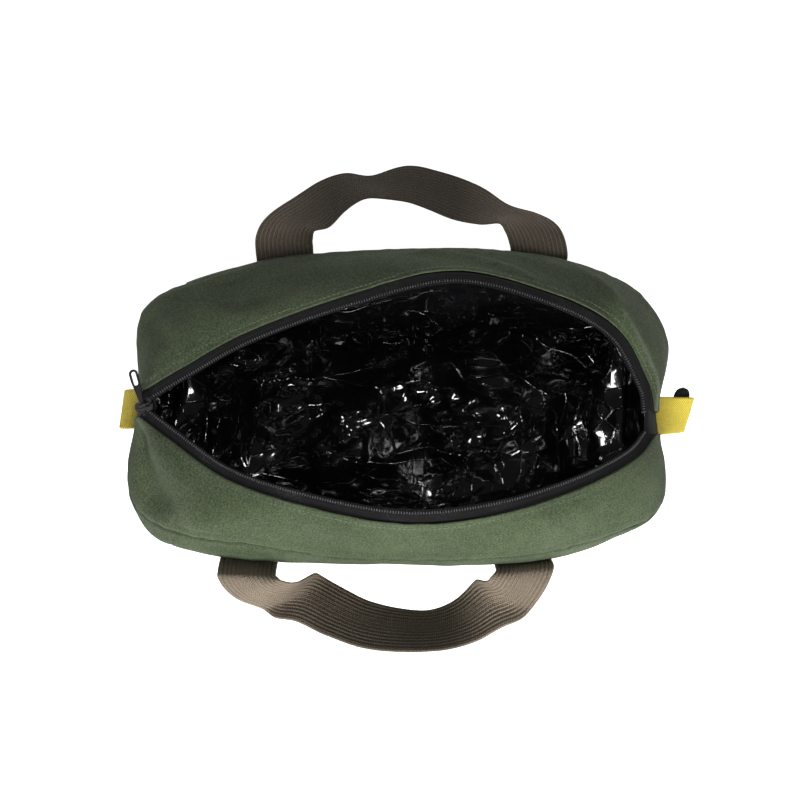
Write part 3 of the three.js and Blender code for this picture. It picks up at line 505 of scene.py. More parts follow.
def soft_noise(seed, *places):
    """Smooth noise from -1 to 1 over two or three places."""
    table = np.random.default_rng(seed).uniform(-1, 1, (64,) * len(places))
    whole = [np.floor(place).astype(int) for place in places]
    share = [place - low for place, low in zip(places, whole)]
    share = [s * s * (3 - 2 * s) for s in share]
    total = 0
    for corner in np.ndindex(*(2,) * len(places)):
        weight = 1
        for side, s in zip(corner, share):
            weight = weight * (s if side else 1 - s)
        total = total + weight * table[tuple((low + side) % 64 for low, side in zip(whole, corner))]
    return total


# %% Piece helpers
def make_piece(name, points, faces, material, body="bag", flat=None, crease=None):
    """A smooth mesh object from points in millimetres, riding on a body."""
    mesh = bpy.data.meshes.new(name)
    mesh.from_pydata(np.asarray(points) * MM, [], faces)
    if flat is not None:
        corners = np.zeros(len(mesh.loops), np.int32)
        mesh.loops.foreach_get("vertex_index", corners)
        layer = mesh.uv_layers.new(name="UVMap")
        layer.data.foreach_set("uv", (np.asarray(flat)[corners] * MM).astype(np.float32).ravel())
    if crease is not None:
        bends = mesh.attributes.new("crease", "FLOAT", "POINT")
        bends.data.foreach_set("value", crease.astype(np.float32).ravel())
    mesh.shade_smooth()
    mesh.materials.append(material)
    piece = bpy.data.objects.new(name, mesh)
    bpy.context.scene.collection.objects.link(piece)
    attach(piece, body)
    return piece


def border(columns, rows):
    """The columns and rows of a grid's edge, walking round it."""
    low = [(i, 0) for i in range(columns)] + [(columns - 1, j) for j in range(1, rows)]
    high = [(i, rows - 1) for i in range(columns - 2, -1, -1)] + [(0, j) for j in range(rows - 2, 0, -1)]
    return tuple(np.array(low + high).T)


def cloth_sheet(name, middle, thickness, material, dark=0.0):
    """A closed sheet of cloth round a grid of points, with a rounded rim. dark paints shade along its seams.
    """
    columns, rows = middle.shape[:2]
    count = columns * rows
    half = grid_normals(middle) * thickness / 2
    edge = border(columns, rows)
    inner = middle[np.clip(edge[0], 1, columns - 2), np.clip(edge[1], 1, rows - 2)]
    rim = middle[edge] + unit(middle[edge] - inner) * thickness / 2
    points = np.concatenate([(middle + half).reshape(-1, 3), (middle - half).reshape(-1, 3), rim])
    quads = grid_quads(columns, rows)
    upper = edge[0] * rows + edge[1]
    lower = upper + count
    outer = 2 * count + np.arange(len(upper))
    ahead = [np.roll(ring, -1) for ring in (upper, lower, outer)]
    faces = np.concatenate([
        quads,
        quads[:, ::-1] + count,
        np.stack([upper, outer, ahead[2], ahead[0]], axis=-1),
        np.stack([outer, lower, ahead[1], ahead[2]], axis=-1)])
    flat = np.stack([run_length(middle, 0), run_length(middle, 1)], axis=-1)
    flat_all = np.concatenate([flat.reshape(-1, 2), flat.reshape(-1, 2), flat[edge]])
    # the seams' painted shade goes into the stored crease as extra hollow
    bend = bending(middle) - dark
    bend_all = np.concatenate([bend.ravel(), -bend.ravel(), bend[edge]])
    return make_piece(name, points, faces.tolist(), material, flat=flat_all, crease=bend_all)


def state_cut(piece, sides, area):
    """States a sheet's flat cut, in metres."""
    sides = [round(side, 3) for side in sides]
    print(piece.name, "cut", sides, "m,", round(area, 4), "m2")


def longest_runs(middle):
    return [np.ptp(run_length(middle, axis), axis=axis).max() * MM for axis in (0, 1)]


def declare_cloth(piece, middle):
    """States the flat cut of a sewn panel: its longest run each way, and its own area."""
    across, up = np.diff(middle, axis=0)[:, :-1], np.diff(middle, axis=1)[:-1]
    area = np.linalg.norm(np.cross(across, up), axis=-1).sum() * MM**2
    state_cut(piece, longest_runs(middle), area)


def joined(parts):
    """Several meshes, each points and faces, as one."""
    points, faces, count = [], [], 0
    for part_points, part_faces in parts:
        points.append(part_points)
        faces += [tuple(corner + count for corner in face) for face in part_faces]
        count += len(part_points)
    return np.concatenate(points), faces


# %% [markdown]
# ## The bag's form
# The walls are a stack of rounded-rectangle sections, read on a smooth curve from the base to the top seam.
# Their sections are superellipses: a power of 2 is an ellipse, a higher one is boxier. The top panels stretch
# from that seam to the mouth's edge. A place on the bag is named by how far round it is (0 right end, 2 back,
# 4 left end, 6 front, 8 round again) and by its level (0 base, 1 seam, 2 mouth).

# %% Sections and mouth
CANVAS, TAPE, FILM, WEBBING, TAB_WEBBING = 1.5, 1.0, 0.4, 2.0, 1.5
GAP = 0.35
END_DROP, END_DROP_POWER, END_PINCH = 0.15, 6, 7.0
TOP_BULGE, DROP_BULGE = 0.07, 0.28
SEAM_LIFT = CANVAS / 2 + GAP
CORNER_GAP = 0.004

# height, half length, half width, shift to the back, squareness
WALL = [
    (1.2, 161, 69, 0, 5.0), (3.4, 166, 74.5, 0, 5.0), (11, 169, 78, 0, 4.9), (48, 172.5, 87, 0, 4.3),
    (85, 178, 98, 0, 3.8), (118, 180.5, 107, 0.6, 3.4), (141, 181, 104.2, 1.8, 3.2)]
# place round the bag, how far the corner of the seam stands out, width
CORNERS = [
    (0.55, 7.5, 0.38), (2.78, -7.5, 0.5), (3.4, 8, 0.3), (4.55, 11.5, 0.36), (7.4, 12, 0.34),
    (5.45, -6.5, 0.27), (0.33, 5.5, 0.2)]
# place round the bag, how far the wall swells below the seam, width; then the level and how far up it goes
SWELLS = [(4.9, 7, 0.28), (5.45, 5, 0.27)]
SWELL_LEVEL, SWELL_WIDTH = 0.8, 0.15
# x, y and height of the mouth's hem, every half step round the bag
MOUTH_BACK = [
    (171.5, -4, 150), (166, 16, 157), (143, 50, 171), (97, 71, 187), (35, 83, 196), (-31, 69, 184),
    (-99, 47, 165), (-142, 25, 155), (-171.5, 8, 150)]
MOUTH_FRONT = [
    (-171.5, -8, 150), (-150, -24, 156), (-112, -50, 167), (-60, -68, 182), (5, -80, 196), (64, -74, 192),
    (118, -57, 178), (156, -37.5, 162), (172, -20, 150)]
# where the back and front top panels start and stop round the seam
TOP_SPANS = {0: (-0.05, 3.9), 4: (4.1, 7.81)}


def read_table(rows, at):
    """Reads a table between its rows, on a smooth curve through them."""
    rows, at = np.asarray(rows, float), np.asarray(at, float)
    last = len(rows) - 1
    i = np.clip(np.floor(at).astype(int), 0, last - 1)
    t = (at - i)[..., None]
    b, c = rows[i], rows[i + 1]
    a = np.where((i > 0)[..., None], rows[np.maximum(i - 1, 0)], 2 * b - c)
    d = np.where((i + 1 < last)[..., None], rows[np.minimum(i + 2, last)], 2 * c - b)
    return b + 0.5 * ((c - a) * t + (2 * a - 5 * b + 4 * c - d) * t**2 + (3 * (b - c) + d - a) * t**3)


def wall_point(around, level):
    """A place on the walls without their folds."""
    around, level = np.broadcast_arrays(np.asarray(around, float), np.asarray(level, float))
    height, half_length, half_width, shift, n = np.moveaxis(read_table(WALL, level * (len(WALL) - 1)), -1, 0)
    turn = np.mod(around, 8)
    sx = np.clip(np.abs(turn - 4) - 2, -1, 1)
    sy = np.clip(np.abs(np.mod(turn - 2, 8) - 4) - 2, -1, 1)
    k = (np.abs(sx) ** n + np.abs(sy) ** n) ** (-1 / n)
    pinch = np.where(np.abs(sx) == 1, END_PINCH * level**2 * (1 - sy * sy) ** 2, 0)
    out = 0
    for place, stand, width in CORNERS:
        apart = place - around
        out = out + stand * level**2 * bell(apart - 8 * np.round(apart / 8), width)
    for place, stand, width in SWELLS:
        out = out + stand * bell(around - place, width) * bell(level - SWELL_LEVEL, SWELL_WIDTH)
    reach = np.hypot(sx, sy)
    return np.stack([
        half_length * sx * k - np.sign(sx) * pinch + out * sx / reach,
        half_width * sy * k + shift + out * sy / reach,
        height * (1 - END_DROP * level**2 * np.abs(sx * k) ** END_DROP_POWER)], axis=-1)


def mouth_point(around):
    back = read_table(MOUTH_BACK, around * 2)
    front = read_table(MOUTH_FRONT, around * 2 - 8)
    return np.where((around <= 4)[..., None], back, front)


def panel_start(around):
    return np.where(around <= 4, 0, 4)


def top_seam(around):
    """The place on the seam that a place round the top panels hangs from."""
    half = panel_start(around)
    first = np.where(around <= 4, TOP_SPANS[0][0], TOP_SPANS[4][0])
    last = np.where(around <= 4, TOP_SPANS[0][1], TOP_SPANS[4][1])
    t = around - half
    begin = first + (half + 1 - first) * t
    finish = half + 3 + (last - half - 3) * (t - 3)
    return wall_point(np.where(t < 1, begin, np.where(t > 3, finish, around)), 1.0) + (0, 0, SEAM_LIFT)


def top_width(around):
    return np.linalg.norm(mouth_point(around) - top_seam(around), axis=-1)


def top_point(around, t):
    """A place on the top panels without their folds: t is 0 at the seam and 1 at the mouth."""
    around, t = np.broadcast_arrays(np.asarray(around, float), np.asarray(t, float))
    seam, mouth = top_seam(around), mouth_point(around)
    point = seam + (mouth - seam) * t[..., None]
    drop = WALL[-1][0] + SEAM_LIFT - seam[..., 2]
    point[..., 2] += (TOP_BULGE * top_width(around) + DROP_BULGE * drop) * np.sin(np.pi * t)
    return point


def along_top(around, t, step):
    """The way along a top panel, over a step to either side that stays on it."""
    first = panel_start(around) + 1e-6
    last = first + 4 - 2e-6
    return top_point(np.minimum(around + step, last), t) - top_point(np.maximum(around - step, first), t)


def panel_places(begin, length, count):
    """Even places round a panel, a little inside its corners."""
    return np.linspace(begin + CORNER_GAP, begin + length - CORNER_GAP, count)


print("seam at the front, mm:", wall_point(6.0, 1.0).round(1), "mouth:", mouth_point(np.array(6.0)).round(1))

# %% [markdown]
# ## Canvas panels
# Four walls and two top panels are cut from canvas and sewn with their edges turned in. A real bag sags, so
# each panel carries the folds of the table below, some wandering wrinkles, and short puckers where thread
# draws it in along a seam. A cloth simulation could do this too, but the folds must lie where the bag has
# them, so each point is moved along the cloth's own direction by a height worked out here.

# %% Folds
# around, level, to around, to level, width mm, height mm
FOLDS = [
    (1.92, 1.3, 1.6, 1.8, 9, 3), (1.3, 1.3, 1.75, 1.12, 14, 1.5),
    (4.88, 1.36, 5.0, 1.12, 7, -1.2), (4.4, 1.9, 4.72, 1.74, 20, 4), (4.72, 1.74, 5.05, 1.3, 20, 4),
    (4.25, 1.6, 4.7, 1.3, 18, -6), (2.75, 1.2, 2.82, 1.55, 17, -3), (3.45, 1.2, 3.5, 1.5, 12, -2),
    (6.55, 1.15, 6.75, 1.7, 14, 2),
    (5.75, 0.85, 6.15, 0.35, 22, -2.5), (7.05, 0.9, 6.95, 0.3, 20, -2.5), (2.2, 0.85, 1.8, 0.3, 22, -2.5),
    (0.25, 0.8, -0.2, 0.3, 20, -2.5), (3.8, 0.8, 4.2, 0.35, 20, -2.5)]
FOLD_AROUND, FOLD_LEVEL = 110, 90  # millimetres of one step round the bag and of one level
FOLD_PANEL_WIDTH = 45


def fold_height(around, level):
    """Height of the folds at a place: the highest ridge and the deepest dent that reach it."""
    ridge, dent = 0, 0
    for start_around, start_level, end_around, end_level, width, rise in FOLDS:
        run = ((end_around - start_around) * FOLD_AROUND, (end_level - start_level) * FOLD_LEVEL)
        x = (around + 8 * np.round((start_around - around) / 8) - start_around) * FOLD_AROUND
        y = (level - start_level) * FOLD_LEVEL
        share = np.clip((x * run[0] + y * run[1]) / (run[0] ** 2 + run[1] ** 2), 0, 1)
        distance = np.hypot(x - share * run[0], y - share * run[1])
        height = rise * bell(distance, width)
        ridge, dent = np.maximum(ridge, height), np.minimum(dent, height)
    return ridge + dent


def edge_fade(level):
    """Lets folds die out at the base and at the seam."""
    return np.clip(np.minimum(5 * level, 5 * (1 - level)), 0, 1)


# the ridge beside the mouth at the right end: place round the bag, share of the panel's width, height mm
SHOULDER = np.array([
    (0, 0.75, 1), (0.15, 0.78, 4), (0.3, 0.8, 6), (0.55, 0.82, 8), (0.76, 0.8, 9), (0.93, 0.66, 10),
    (1.03, 0.44, 10), (1.12, 0.3, 8), (1.25, 0.24, 4), (1.45, 0.22, 0)])
SHOULDER_SOFTNESS = 0.11


def shoulder(around, t):
    """Height of a ridge with an even slope down to the seam on one side and to the mouth on the other."""
    peak, rise = (np.interp(around, SHOULDER[:, 0], SHOULDER[:, i]) for i in (1, 2))
    slopes = np.logaddexp(-t / peak / SHOULDER_SOFTNESS, -(1 - t) / (1 - peak) / SHOULDER_SOFTNESS)
    return rise * np.maximum(0, -SHOULDER_SOFTNESS * slopes)


# share of a wrinkle's height, then its length along and up
DENT, DRAWN, SMALL = (1.1, 48, 40), (0.35, 15, 60), (0.12, 11, 9)
WANDER, WANDER_LENGTH = 16, 55


def wrinkles(along, up, seed, size):
    """Wandering dents and a few sharper wrinkles, in millimetres."""
    sway = WANDER * soft_noise(seed, along / WANDER_LENGTH, up / WANDER_LENGTH)
    dents = soft_noise(seed + 1, (along + sway) / DENT[1], (up - sway) / DENT[2])
    drawn = soft_noise(seed + 2, (along + 0.5 * up + sway) / DRAWN[1], (up - 0.4 * along) / DRAWN[2])
    small = soft_noise(seed + 3, along / SMALL[1], up / SMALL[2])
    return size * (DENT[0] * dents + DRAWN[0] * drawn + SMALL[0] * small)


PUCKERS = [(1, 5.5, 30), (0.6, 13, 40)]  # share of the height, length along the seam, length away from it
PUCKER_HEIGHT, PUCKER_REACH = 0.55, 8
GROOVE_WIDTH = 1.7
PUFF, PUFF_AWAY, PUFF_WIDTH = 0.5, 6, 4.5  # the cloth stands up a little beside a seam


def seam_pull(distance, along, seed, depth=1.3):
    """How a seam draws its cloth in: a groove, and puckers that die out away from it."""
    puckers = 0
    for i, (share, length, reach) in enumerate(PUCKERS):
        puckers = puckers + share * soft_noise(seed + i, along / length, distance / reach)
    groove = depth * bell(distance, GROOVE_WIDTH)
    puff = PUFF * bell(distance - PUFF_AWAY, PUFF_WIDTH)
    return puff - groove + PUCKER_HEIGHT * puckers * np.exp(-distance / PUCKER_REACH)


print(len(FOLDS), "folds, and a ridge", SHOULDER[:, 2].max(), "mm high beside the mouth")

# %% Walls
WALLS = [
    # piece, solid, first corner, columns, wrinkle seed
    ("right_end_wall", "right_end_panel", -1, 110, 20),
    ("back_wall", "back_panel", 1, 190, 30),
    ("left_end_wall", "left_end_panel", 3, 110, 40),
    ("front_wall", "front_panel", 5, 190, 50),
]
WALL_ROWS, WALL_WRINKLES, WALL_GROOVE = 80, 1.3, 1.0
CORNER_PULL, CORNER_LEAST = 0.6, 0.15  # a corner seam pulls less than the top one, and least near the top
BASE_TUCK, BASE_TUCK_WIDTH = 0.5, 2.5
ABOVE_FLOOR = 0.05
# painted shade along the seams: how dark, and how wide
CORNER_SHADE, TOP_SHADE = (0.12, 1.0), (0.35, 1.5)
for name, solid, corner, columns, seed in WALLS:
    around, level = np.meshgrid(panel_places(corner, 2, columns), np.linspace(0, 1, WALL_ROWS), indexing="ij")
    plain = wall_point(around, level)
    along, up = run_length(plain, 0), run_length(plain, 1)
    up = up - up[:, :1]
    side = np.minimum(along - along[:1], along[-1:] - along)
    top = up[:, -1:] - up
    height = edge_fade(level) * (fold_height(around, level) + wrinkles(along, up, seed, WALL_WRINKLES))
    corner_fade = np.clip(3 - 4 * level, CORNER_LEAST, 1)
    height += CORNER_PULL * corner_fade * seam_pull(side, up, seed + 5)
    height += seam_pull(top, along, seed + 6, WALL_GROOVE) * (level > 0.2)
    height -= BASE_TUCK * bell(up, BASE_TUCK_WIDTH)
    grid = plain + grid_normals(plain) * height[..., None]
    grid[..., 2] = np.maximum(grid[..., 2], CANVAS / 2 + ABOVE_FLOOR)
    seams = CORNER_SHADE[0] * corner_fade * bell(side, CORNER_SHADE[1])
    seams = seams + TOP_SHADE[0] * bell(top, TOP_SHADE[1])
    piece = cloth_sheet(name, grid, CANVAS, canvas, seams)
    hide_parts(solid)
    declare_cloth(piece, grid)

# %% [markdown]
# ## Top panels
# The two top panels close in from the seam to the zip. Each inner edge is turned under and stitched down, so
# the last seven millimetres stand a little proud, with a fine groove where the stitches pull.

# %% Top panels
HEM, HEM_STITCH = 7.0, 4.0
HEM_RISE, HEM_STEP = 0.15, 0.9
HEM_WAVE, HEM_WAVE_LENGTHS, HEM_WAVE_REACH = 0.25, (9, 20), 10
HEM_GROOVE, HEM_GROOVE_WIDTH = 0.12, 0.8
TOP_WRINKLES, TOP_GROOVE, TOP_SEAM_SHADE = 0.8, 1.2, (0.4, 1.2)
END_FADE = 6  # seams and hems die out over a sixth of a step from each end
TOPS = [
    # piece, solid, start round the bag, wrinkle seed
    ("back_top", "top_back_panel", 0, 60),
    ("front_top", "top_front_panel", 4, 70),
]
TOP_COLUMNS, TOP_ROWS = 300, 56
top_grids = {}
for name, solid, begin, seed in TOPS:
    around, t = np.meshgrid(
        panel_places(begin, 4, TOP_COLUMNS), np.linspace(1e-4, 1, TOP_ROWS), indexing="ij")
    plain = top_point(around, t)
    along, up = run_length(plain, 0), run_length(plain, 1)
    up = up - up[:, :1]
    fade = np.clip(np.minimum(5 * t, 3 * (1 - t)), 0, 1)
    fade = fade * np.clip(top_width(around) / FOLD_PANEL_WIDTH, 0, 1)
    to_mouth = up[:, -1:] - up
    end_fade = np.clip(np.minimum(around - begin, begin + 4 - around) * END_FADE, 0, 1)
    height = fade * (fold_height(around, 1 + t) + wrinkles(along, up, seed, TOP_WRINKLES))
    height += end_fade * seam_pull(up, along, seed + 5, TOP_GROOVE)
    hem_rise = HEM_RISE / (1 + np.exp((to_mouth - HEM) / HEM_STEP))
    hem_waves = soft_noise(seed + 7, along / HEM_WAVE_LENGTHS[0], to_mouth / HEM_WAVE_LENGTHS[1])
    hem_waves = HEM_WAVE * hem_waves * np.exp(-to_mouth / HEM_WAVE_REACH)
    hem_groove = HEM_GROOVE * bell(to_mouth - HEM_STITCH, HEM_GROOVE_WIDTH)
    height += end_fade * (hem_rise + hem_waves - hem_groove)
    grid = plain + grid_normals(plain) * height[..., None]
    grid[..., 2] += shoulder(around, t)
    top_grids[name] = grid
    # painted shade along the seam to the walls
    seam = TOP_SEAM_SHADE[0] * bell(up, TOP_SEAM_SHADE[1])
    piece = cloth_sheet(name, grid, CANVAS, canvas, seam)
    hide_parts(solid)
    declare_cloth(piece, grid)

# %% [markdown]
# ## Base
# The bag stands on a flat base of the same canvas over a stiffener. Its outline is the walls' lower edge, a
# little inside. A square grid stretched over that outline keeps its faces even, where a fan of rings would
# pinch them together in the middle.

# %% Base
BASE_THICKNESS = 2.0
BASE_INSET = CANVAS / 2 + GAP
BASE_COLUMNS, BASE_ROWS = 120, 70


def over_outline(outline_at, columns, rows):
    """Stretches a square grid over a closed outline, given by the place round it."""
    x, y = np.meshgrid(np.linspace(-1, 1, columns), np.linspace(-1, 1, rows), indexing="ij")
    size = np.maximum(np.maximum(np.abs(x), np.abs(y)), 1e-9)
    sx, sy = x / size, y / size
    right = np.where(sy >= 0, sy, 8 + sy)
    long_side = np.where(sy > 0, 2 - sx, 6 + sx)
    around = np.where(sx >= 1 - 1e-9, right, np.where(sx <= -1 + 1e-9, 4 - sy, long_side))
    return outline_at(around) * size[..., None]


def base_edge(around):
    edge = wall_point(around, 0.0)[..., :2]
    return edge - unit(edge) * (BASE_INSET + BASE_THICKNESS / 2)


def lifted(flat, height):
    """A flat grid of points at a height."""
    return np.concatenate([flat, np.full(flat.shape[:2] + (1,), height)], axis=-1)


base_grid = lifted(over_outline(base_edge, BASE_COLUMNS, BASE_ROWS), BASE_THICKNESS / 2)
piece = cloth_sheet("base", base_grid, BASE_THICKNESS, canvas)
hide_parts("bottom_panel")
declare_cloth(piece, base_grid)

# %% [markdown]
# ## Zip tape
# The tape is sewn under the hem and shows for eight millimetres inside it, turning from the panel's slope
# towards the level. It is flat and tight, so a grid along the hem is enough, with a slight wave as a pulled
# zip has. Past the last teeth a patch of the same tape, between the two hems, closes the gap down to the seam
# at each end.

# %% Zip tape
TAPE_HIDDEN, TAPE_SHOWN, TAPE_FLATTEN = 2.5, 8.0, 1.2
TAPE_THICKNESS = 0.8 * TAPE
COIL_INSET = 1.3
UNDER_HEM = (CANVAS + TAPE) / 2 + GAP + 0.55


def hem_frame(around):
    """The mouth's edge at a place, with its direction along, the panel's slope and the tape's way in."""
    edge = top_point(around, 1.0)
    slope = unit(edge - top_point(around, 0.98))
    along = unit(along_top(around, 1.0, 0.004))
    normal = unit(np.cross(along, slope))
    level = unit(np.stack([-along[..., 1], along[..., 0], 0 * along[..., 0]], axis=-1))
    return edge, normal, slope, along, unit(slope + TAPE_FLATTEN * level)


def tape_point(around, across):
    edge, normal, slope, _, inward = hem_frame(around)
    way = np.where((across < 0)[..., None], slope, inward)
    return edge - UNDER_HEM * normal + way * across[..., None]


TAPE_COLUMNS, TAPE_ROWS = 300, 15
TAPE_WAVE, TAPE_WAVE_LENGTHS = 0.35, (16, 40)
TAPE_RIB, TAPE_RIB_PITCH = 0.03, 1.7
for name, begin in (("back", 0), ("front", 4)):
    around, across = np.meshgrid(
        panel_places(begin, 4, TAPE_COLUMNS), np.linspace(-TAPE_HIDDEN, TAPE_SHOWN, TAPE_ROWS), indexing="ij")
    grid = tape_point(around, across)
    along = run_length(grid, 0)
    shown = np.clip(across / TAPE_SHOWN, 0, 1)
    waves = soft_noise(80 + begin, along / TAPE_WAVE_LENGTHS[0], across / TAPE_WAVE_LENGTHS[1])
    wave = shown * TAPE_WAVE * waves
    ribs = TAPE_RIB * np.cos(across * 2 * np.pi / TAPE_RIB_PITCH) * (shown > 0)
    grid = grid + grid_normals(grid) * (wave + ribs)[..., None]
    piece = cloth_sheet(f"tape_{name}", grid, TAPE_THICKNESS, zip_tape)
    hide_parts(f"zip_tape_{name}")
    declare_cloth(piece, grid)

# %% Zip ends
END_STEPS, END_ACROSS, END_OVERLAP, END_DEPTH = 24, 16, 0.1, 0.8
END_INSIDE, END_AT_MOUTH = 5.0, 1.5  # distances across the tape
ZIP_ENDS = [
    # name, front and back places round the bag, how far inside the mouth the patch starts
    ("right", 7.999, 0.001, 0.1),
    ("left", 4.001, 3.999, -0.03),
]
for name, front, back, inner in ZIP_ENDS:
    sides = []
    for around, step in ((front, -inner), (back, inner)):
        inside = tape_point(np.array(around + step), np.array(END_INSIDE))
        mouth = tape_point(np.array(around), np.array(END_AT_MOUTH))
        low = top_point(around, 0.02)
        path = [inside, mouth, 0.5 * (mouth + low) + (0, 0, 2), low]
        sides.append(read_table(path, np.linspace(0, 3, END_STEPS)))
    share = np.linspace(-END_OVERLAP, 1 + END_OVERLAP, END_ACROSS)[:, None, None]
    grid = sides[0] + (sides[1] - sides[0]) * share - np.array((0, 0, END_DEPTH))
    outward = grid if name == "left" else grid[::-1]
    piece = cloth_sheet(f"zip_end_{name}", outward, TAPE_THICKNESS, zip_tape)
    declare_cloth(piece, grid)

# %% [markdown]
# ## Zip teeth
# A coil zip's teeth are turns of a nylon spiral. From a hand's width away they read as a row of short bars,
# so each tooth is a small rounded bar across the tape, stamped along the coil by one array sum.

# %% Zip teeth
TOOTH_PITCH = 1.75
TOOTH_SIZE = (0.4, 0.9, 0.6)  # half sizes along, across and up
BAR_ROUNDNESS = 0.6  # 1 would be a ball, 0 a box


def round_bar(rings=5, sides=8):
    """A unit ball whose points are pushed towards a box: a rounded bar once it is scaled."""
    points, faces = [(0, -1, 0)], []
    for i in range(1, rings):
        slant = math.pi * (i / rings - 0.5)
        for j in range(sides):
            turn = 2 * math.pi * j / sides
            out, up = math.cos(slant), math.sin(slant)
            points.append((out * math.cos(turn), up, out * math.sin(turn)))
    points.append((0, 1, 0))
    last = len(points) - 1
    for j in range(sides):
        k = (j + 1) % sides
        faces.append((0, 1 + j, 1 + k))
        faces.append((last, last - sides + k, last - sides + j))
        for i in range(rings - 2):
            a, b = 1 + i * sides, 1 + (i + 1) * sides
            faces.append((a + j, b + j, b + k, a + k))
    ball = np.array(points)
    return np.sign(ball) * np.abs(ball) ** BAR_ROUNDNESS, faces


def stamp(shape, faces, places, axes, sizes):
    """Copies of one small shape: places are points, axes three directions each, sizes half sizes."""
    scaled_shape = shape * np.asarray(sizes, float)
    points = places[:, None, :] + np.einsum("pk,nkd->npd", scaled_shape, axes)
    count = len(shape)
    all_faces = [tuple(corner + i * count for corner in face) for i in range(len(places)) for face in faces]
    return points.reshape(-1, 3), all_faces


def run_along(path):
    """The distance from a path's start to each of its points."""
    return np.insert(np.cumsum(np.linalg.norm(np.diff(path, axis=0), axis=-1)), 0, 0)


def even_steps(run, pitch):
    return (np.arange(int(run[-1] / pitch)) + 0.5) * pitch


bar, bar_faces = round_bar()
for name, begin in (("back", 0), ("front", 4)):
    fine = panel_places(begin, 4, 800)
    run = run_along(tape_point(fine, np.full_like(fine, TAPE_SHOWN - COIL_INSET)))
    around = np.interp(even_steps(run, TOOTH_PITCH), run, fine)
    _, _, _, along, inward = hem_frame(around)
    up = unit(np.cross(along, inward))
    seat = tape_point(around, np.full_like(around, TAPE_SHOWN - COIL_INSET))
    axes = np.stack([along, np.cross(up, along), up], axis=1)
    points, faces = stamp(bar, bar_faces, seat + up * (TAPE / 2 + TOOTH_SIZE[2]), axes, TOOTH_SIZE)
    piece = make_piece(f"teeth_{name}", points, faces, zip_coil)
    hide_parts(f"zip_coil_{name}")
    print(piece.name, len(around), "teeth")

# %% [markdown]
# ## Handles
# Each handle is one length of ribbed webbing, sewn flat to the wall at both ends and free between. It bends
# like card, easily one way and hardly sideways, so its table gives its middle line, the direction across it
# and how that direction tilts. The ribs are real relief: thirteen rounded cords side by side.

# %% Handle paths
HANDLE_WIDTH, RIBS, RIB_HEIGHT = 38.0, 13, 0.42
SEWN_LEVELS = [0.5, 0.6, 0.7, 0.78]
# x, distance out from the bag's middle, height, turn and tilt in degrees
HANDLE_FRONT = [
    (-101, 111, 126, -4, 0), (-100, 115, 131, 3, 4), (-92.5, 122.5, 128, 20, 28), (-78, 127, 122, 38, 38),
    (-61.5, 128, 118, 55, -24), (-42, 137.5, 117, 66, -33), (-21.5, 146, 115, 78, -39),
    (2, 150, 114, 90, -45), (25.5, 150, 115, 104, -47), (45.5, 143.5, 116, 117, -41),
    (62, 132.5, 119, 128, -24), (75.5, 126, 124, 150, 20), (83, 115, 130, 174, 8), (86, 108.5, 126, 184, 0)]
HANDLE_BACK = [
    (-77, 109, 126, -4, 0), (-76.5, 116, 132, 6, 8), (-72, 124.5, 134, 19, 24), (-58.5, 133, 131, 40, 28),
    (-44.5, 145, 127, 54, 36), (-29.5, 153, 122, 60, 45), (-14, 153.5, 118, 72, 54),
    (7, 156.5, 115, 95, 40), (26.5, 151.5, 114, 104, 34), (48.5, 142.5, 116, 123, 32),
    (66.5, 133.5, 120, 139, 43), (83, 129.5, 126, 159, 40), (92.5, 120, 131, 172, 16), (97, 108, 126, 186, 0)]


def around_for(x, side, level):
    """The place round the bag where a wall reaches x."""
    low, high = (5.0, 7.0) if side < 0 else (3.0, 1.0)
    for _ in range(30):
        middle = (low + high) / 2
        if wall_point(middle, level)[0] < x:
            low = middle
        else:
            high = middle
    return (low + high) / 2


def sewn_rows(x, side, turn):
    """Rows of the table where the handle lies flat on a wall, from low to high."""
    rows = []
    for level in SEWN_LEVELS:
        around = around_for(x, side, level)
        spot = np.array([[around - 0.02, around, around + 0.02]]).T + np.zeros((1, 3))
        patch = wall_point(spot, np.array([[level - 0.02, level, level + 0.02]]))
        normal = grid_normals(patch)[1, 1]
        fold = fold_height(around, level) * edge_fade(level)
        middle = patch[1, 1] + normal * (fold + CANVAS / 2 + GAP + WEBBING / 2)
        along = patch[2, 1] - patch[0, 1]
        slope = math.degrees(math.atan2(along[1], along[0])) * -side
        lean = slope if side < 0 else slope - 180 * np.sign(slope)
        rows.append((middle[0], abs(middle[1]), middle[2], turn + lean, 0))
    return rows


def handle_grid(rows, side, columns, steps):
    whole = [*sewn_rows(rows[0][0], side, 0), *rows, *sewn_rows(rows[-1][0], side, 180)[::-1]]
    at = np.linspace(0, len(whole) - 1, columns)
    x, out, height, turn, tilt = read_table(whole, at).T
    turn, tilt = np.radians(turn), np.radians(tilt)
    level = np.cos(tilt)
    across = np.stack([np.cos(turn) * level, -side * np.sin(turn) * level, np.sin(tilt)], axis=-1)
    middle = np.stack([x, side * out, height], axis=-1)
    share = np.linspace(-0.5, 0.5, steps)
    return middle[:, None] + across[:, None] * (share * HANDLE_WIDTH)[:, None], at


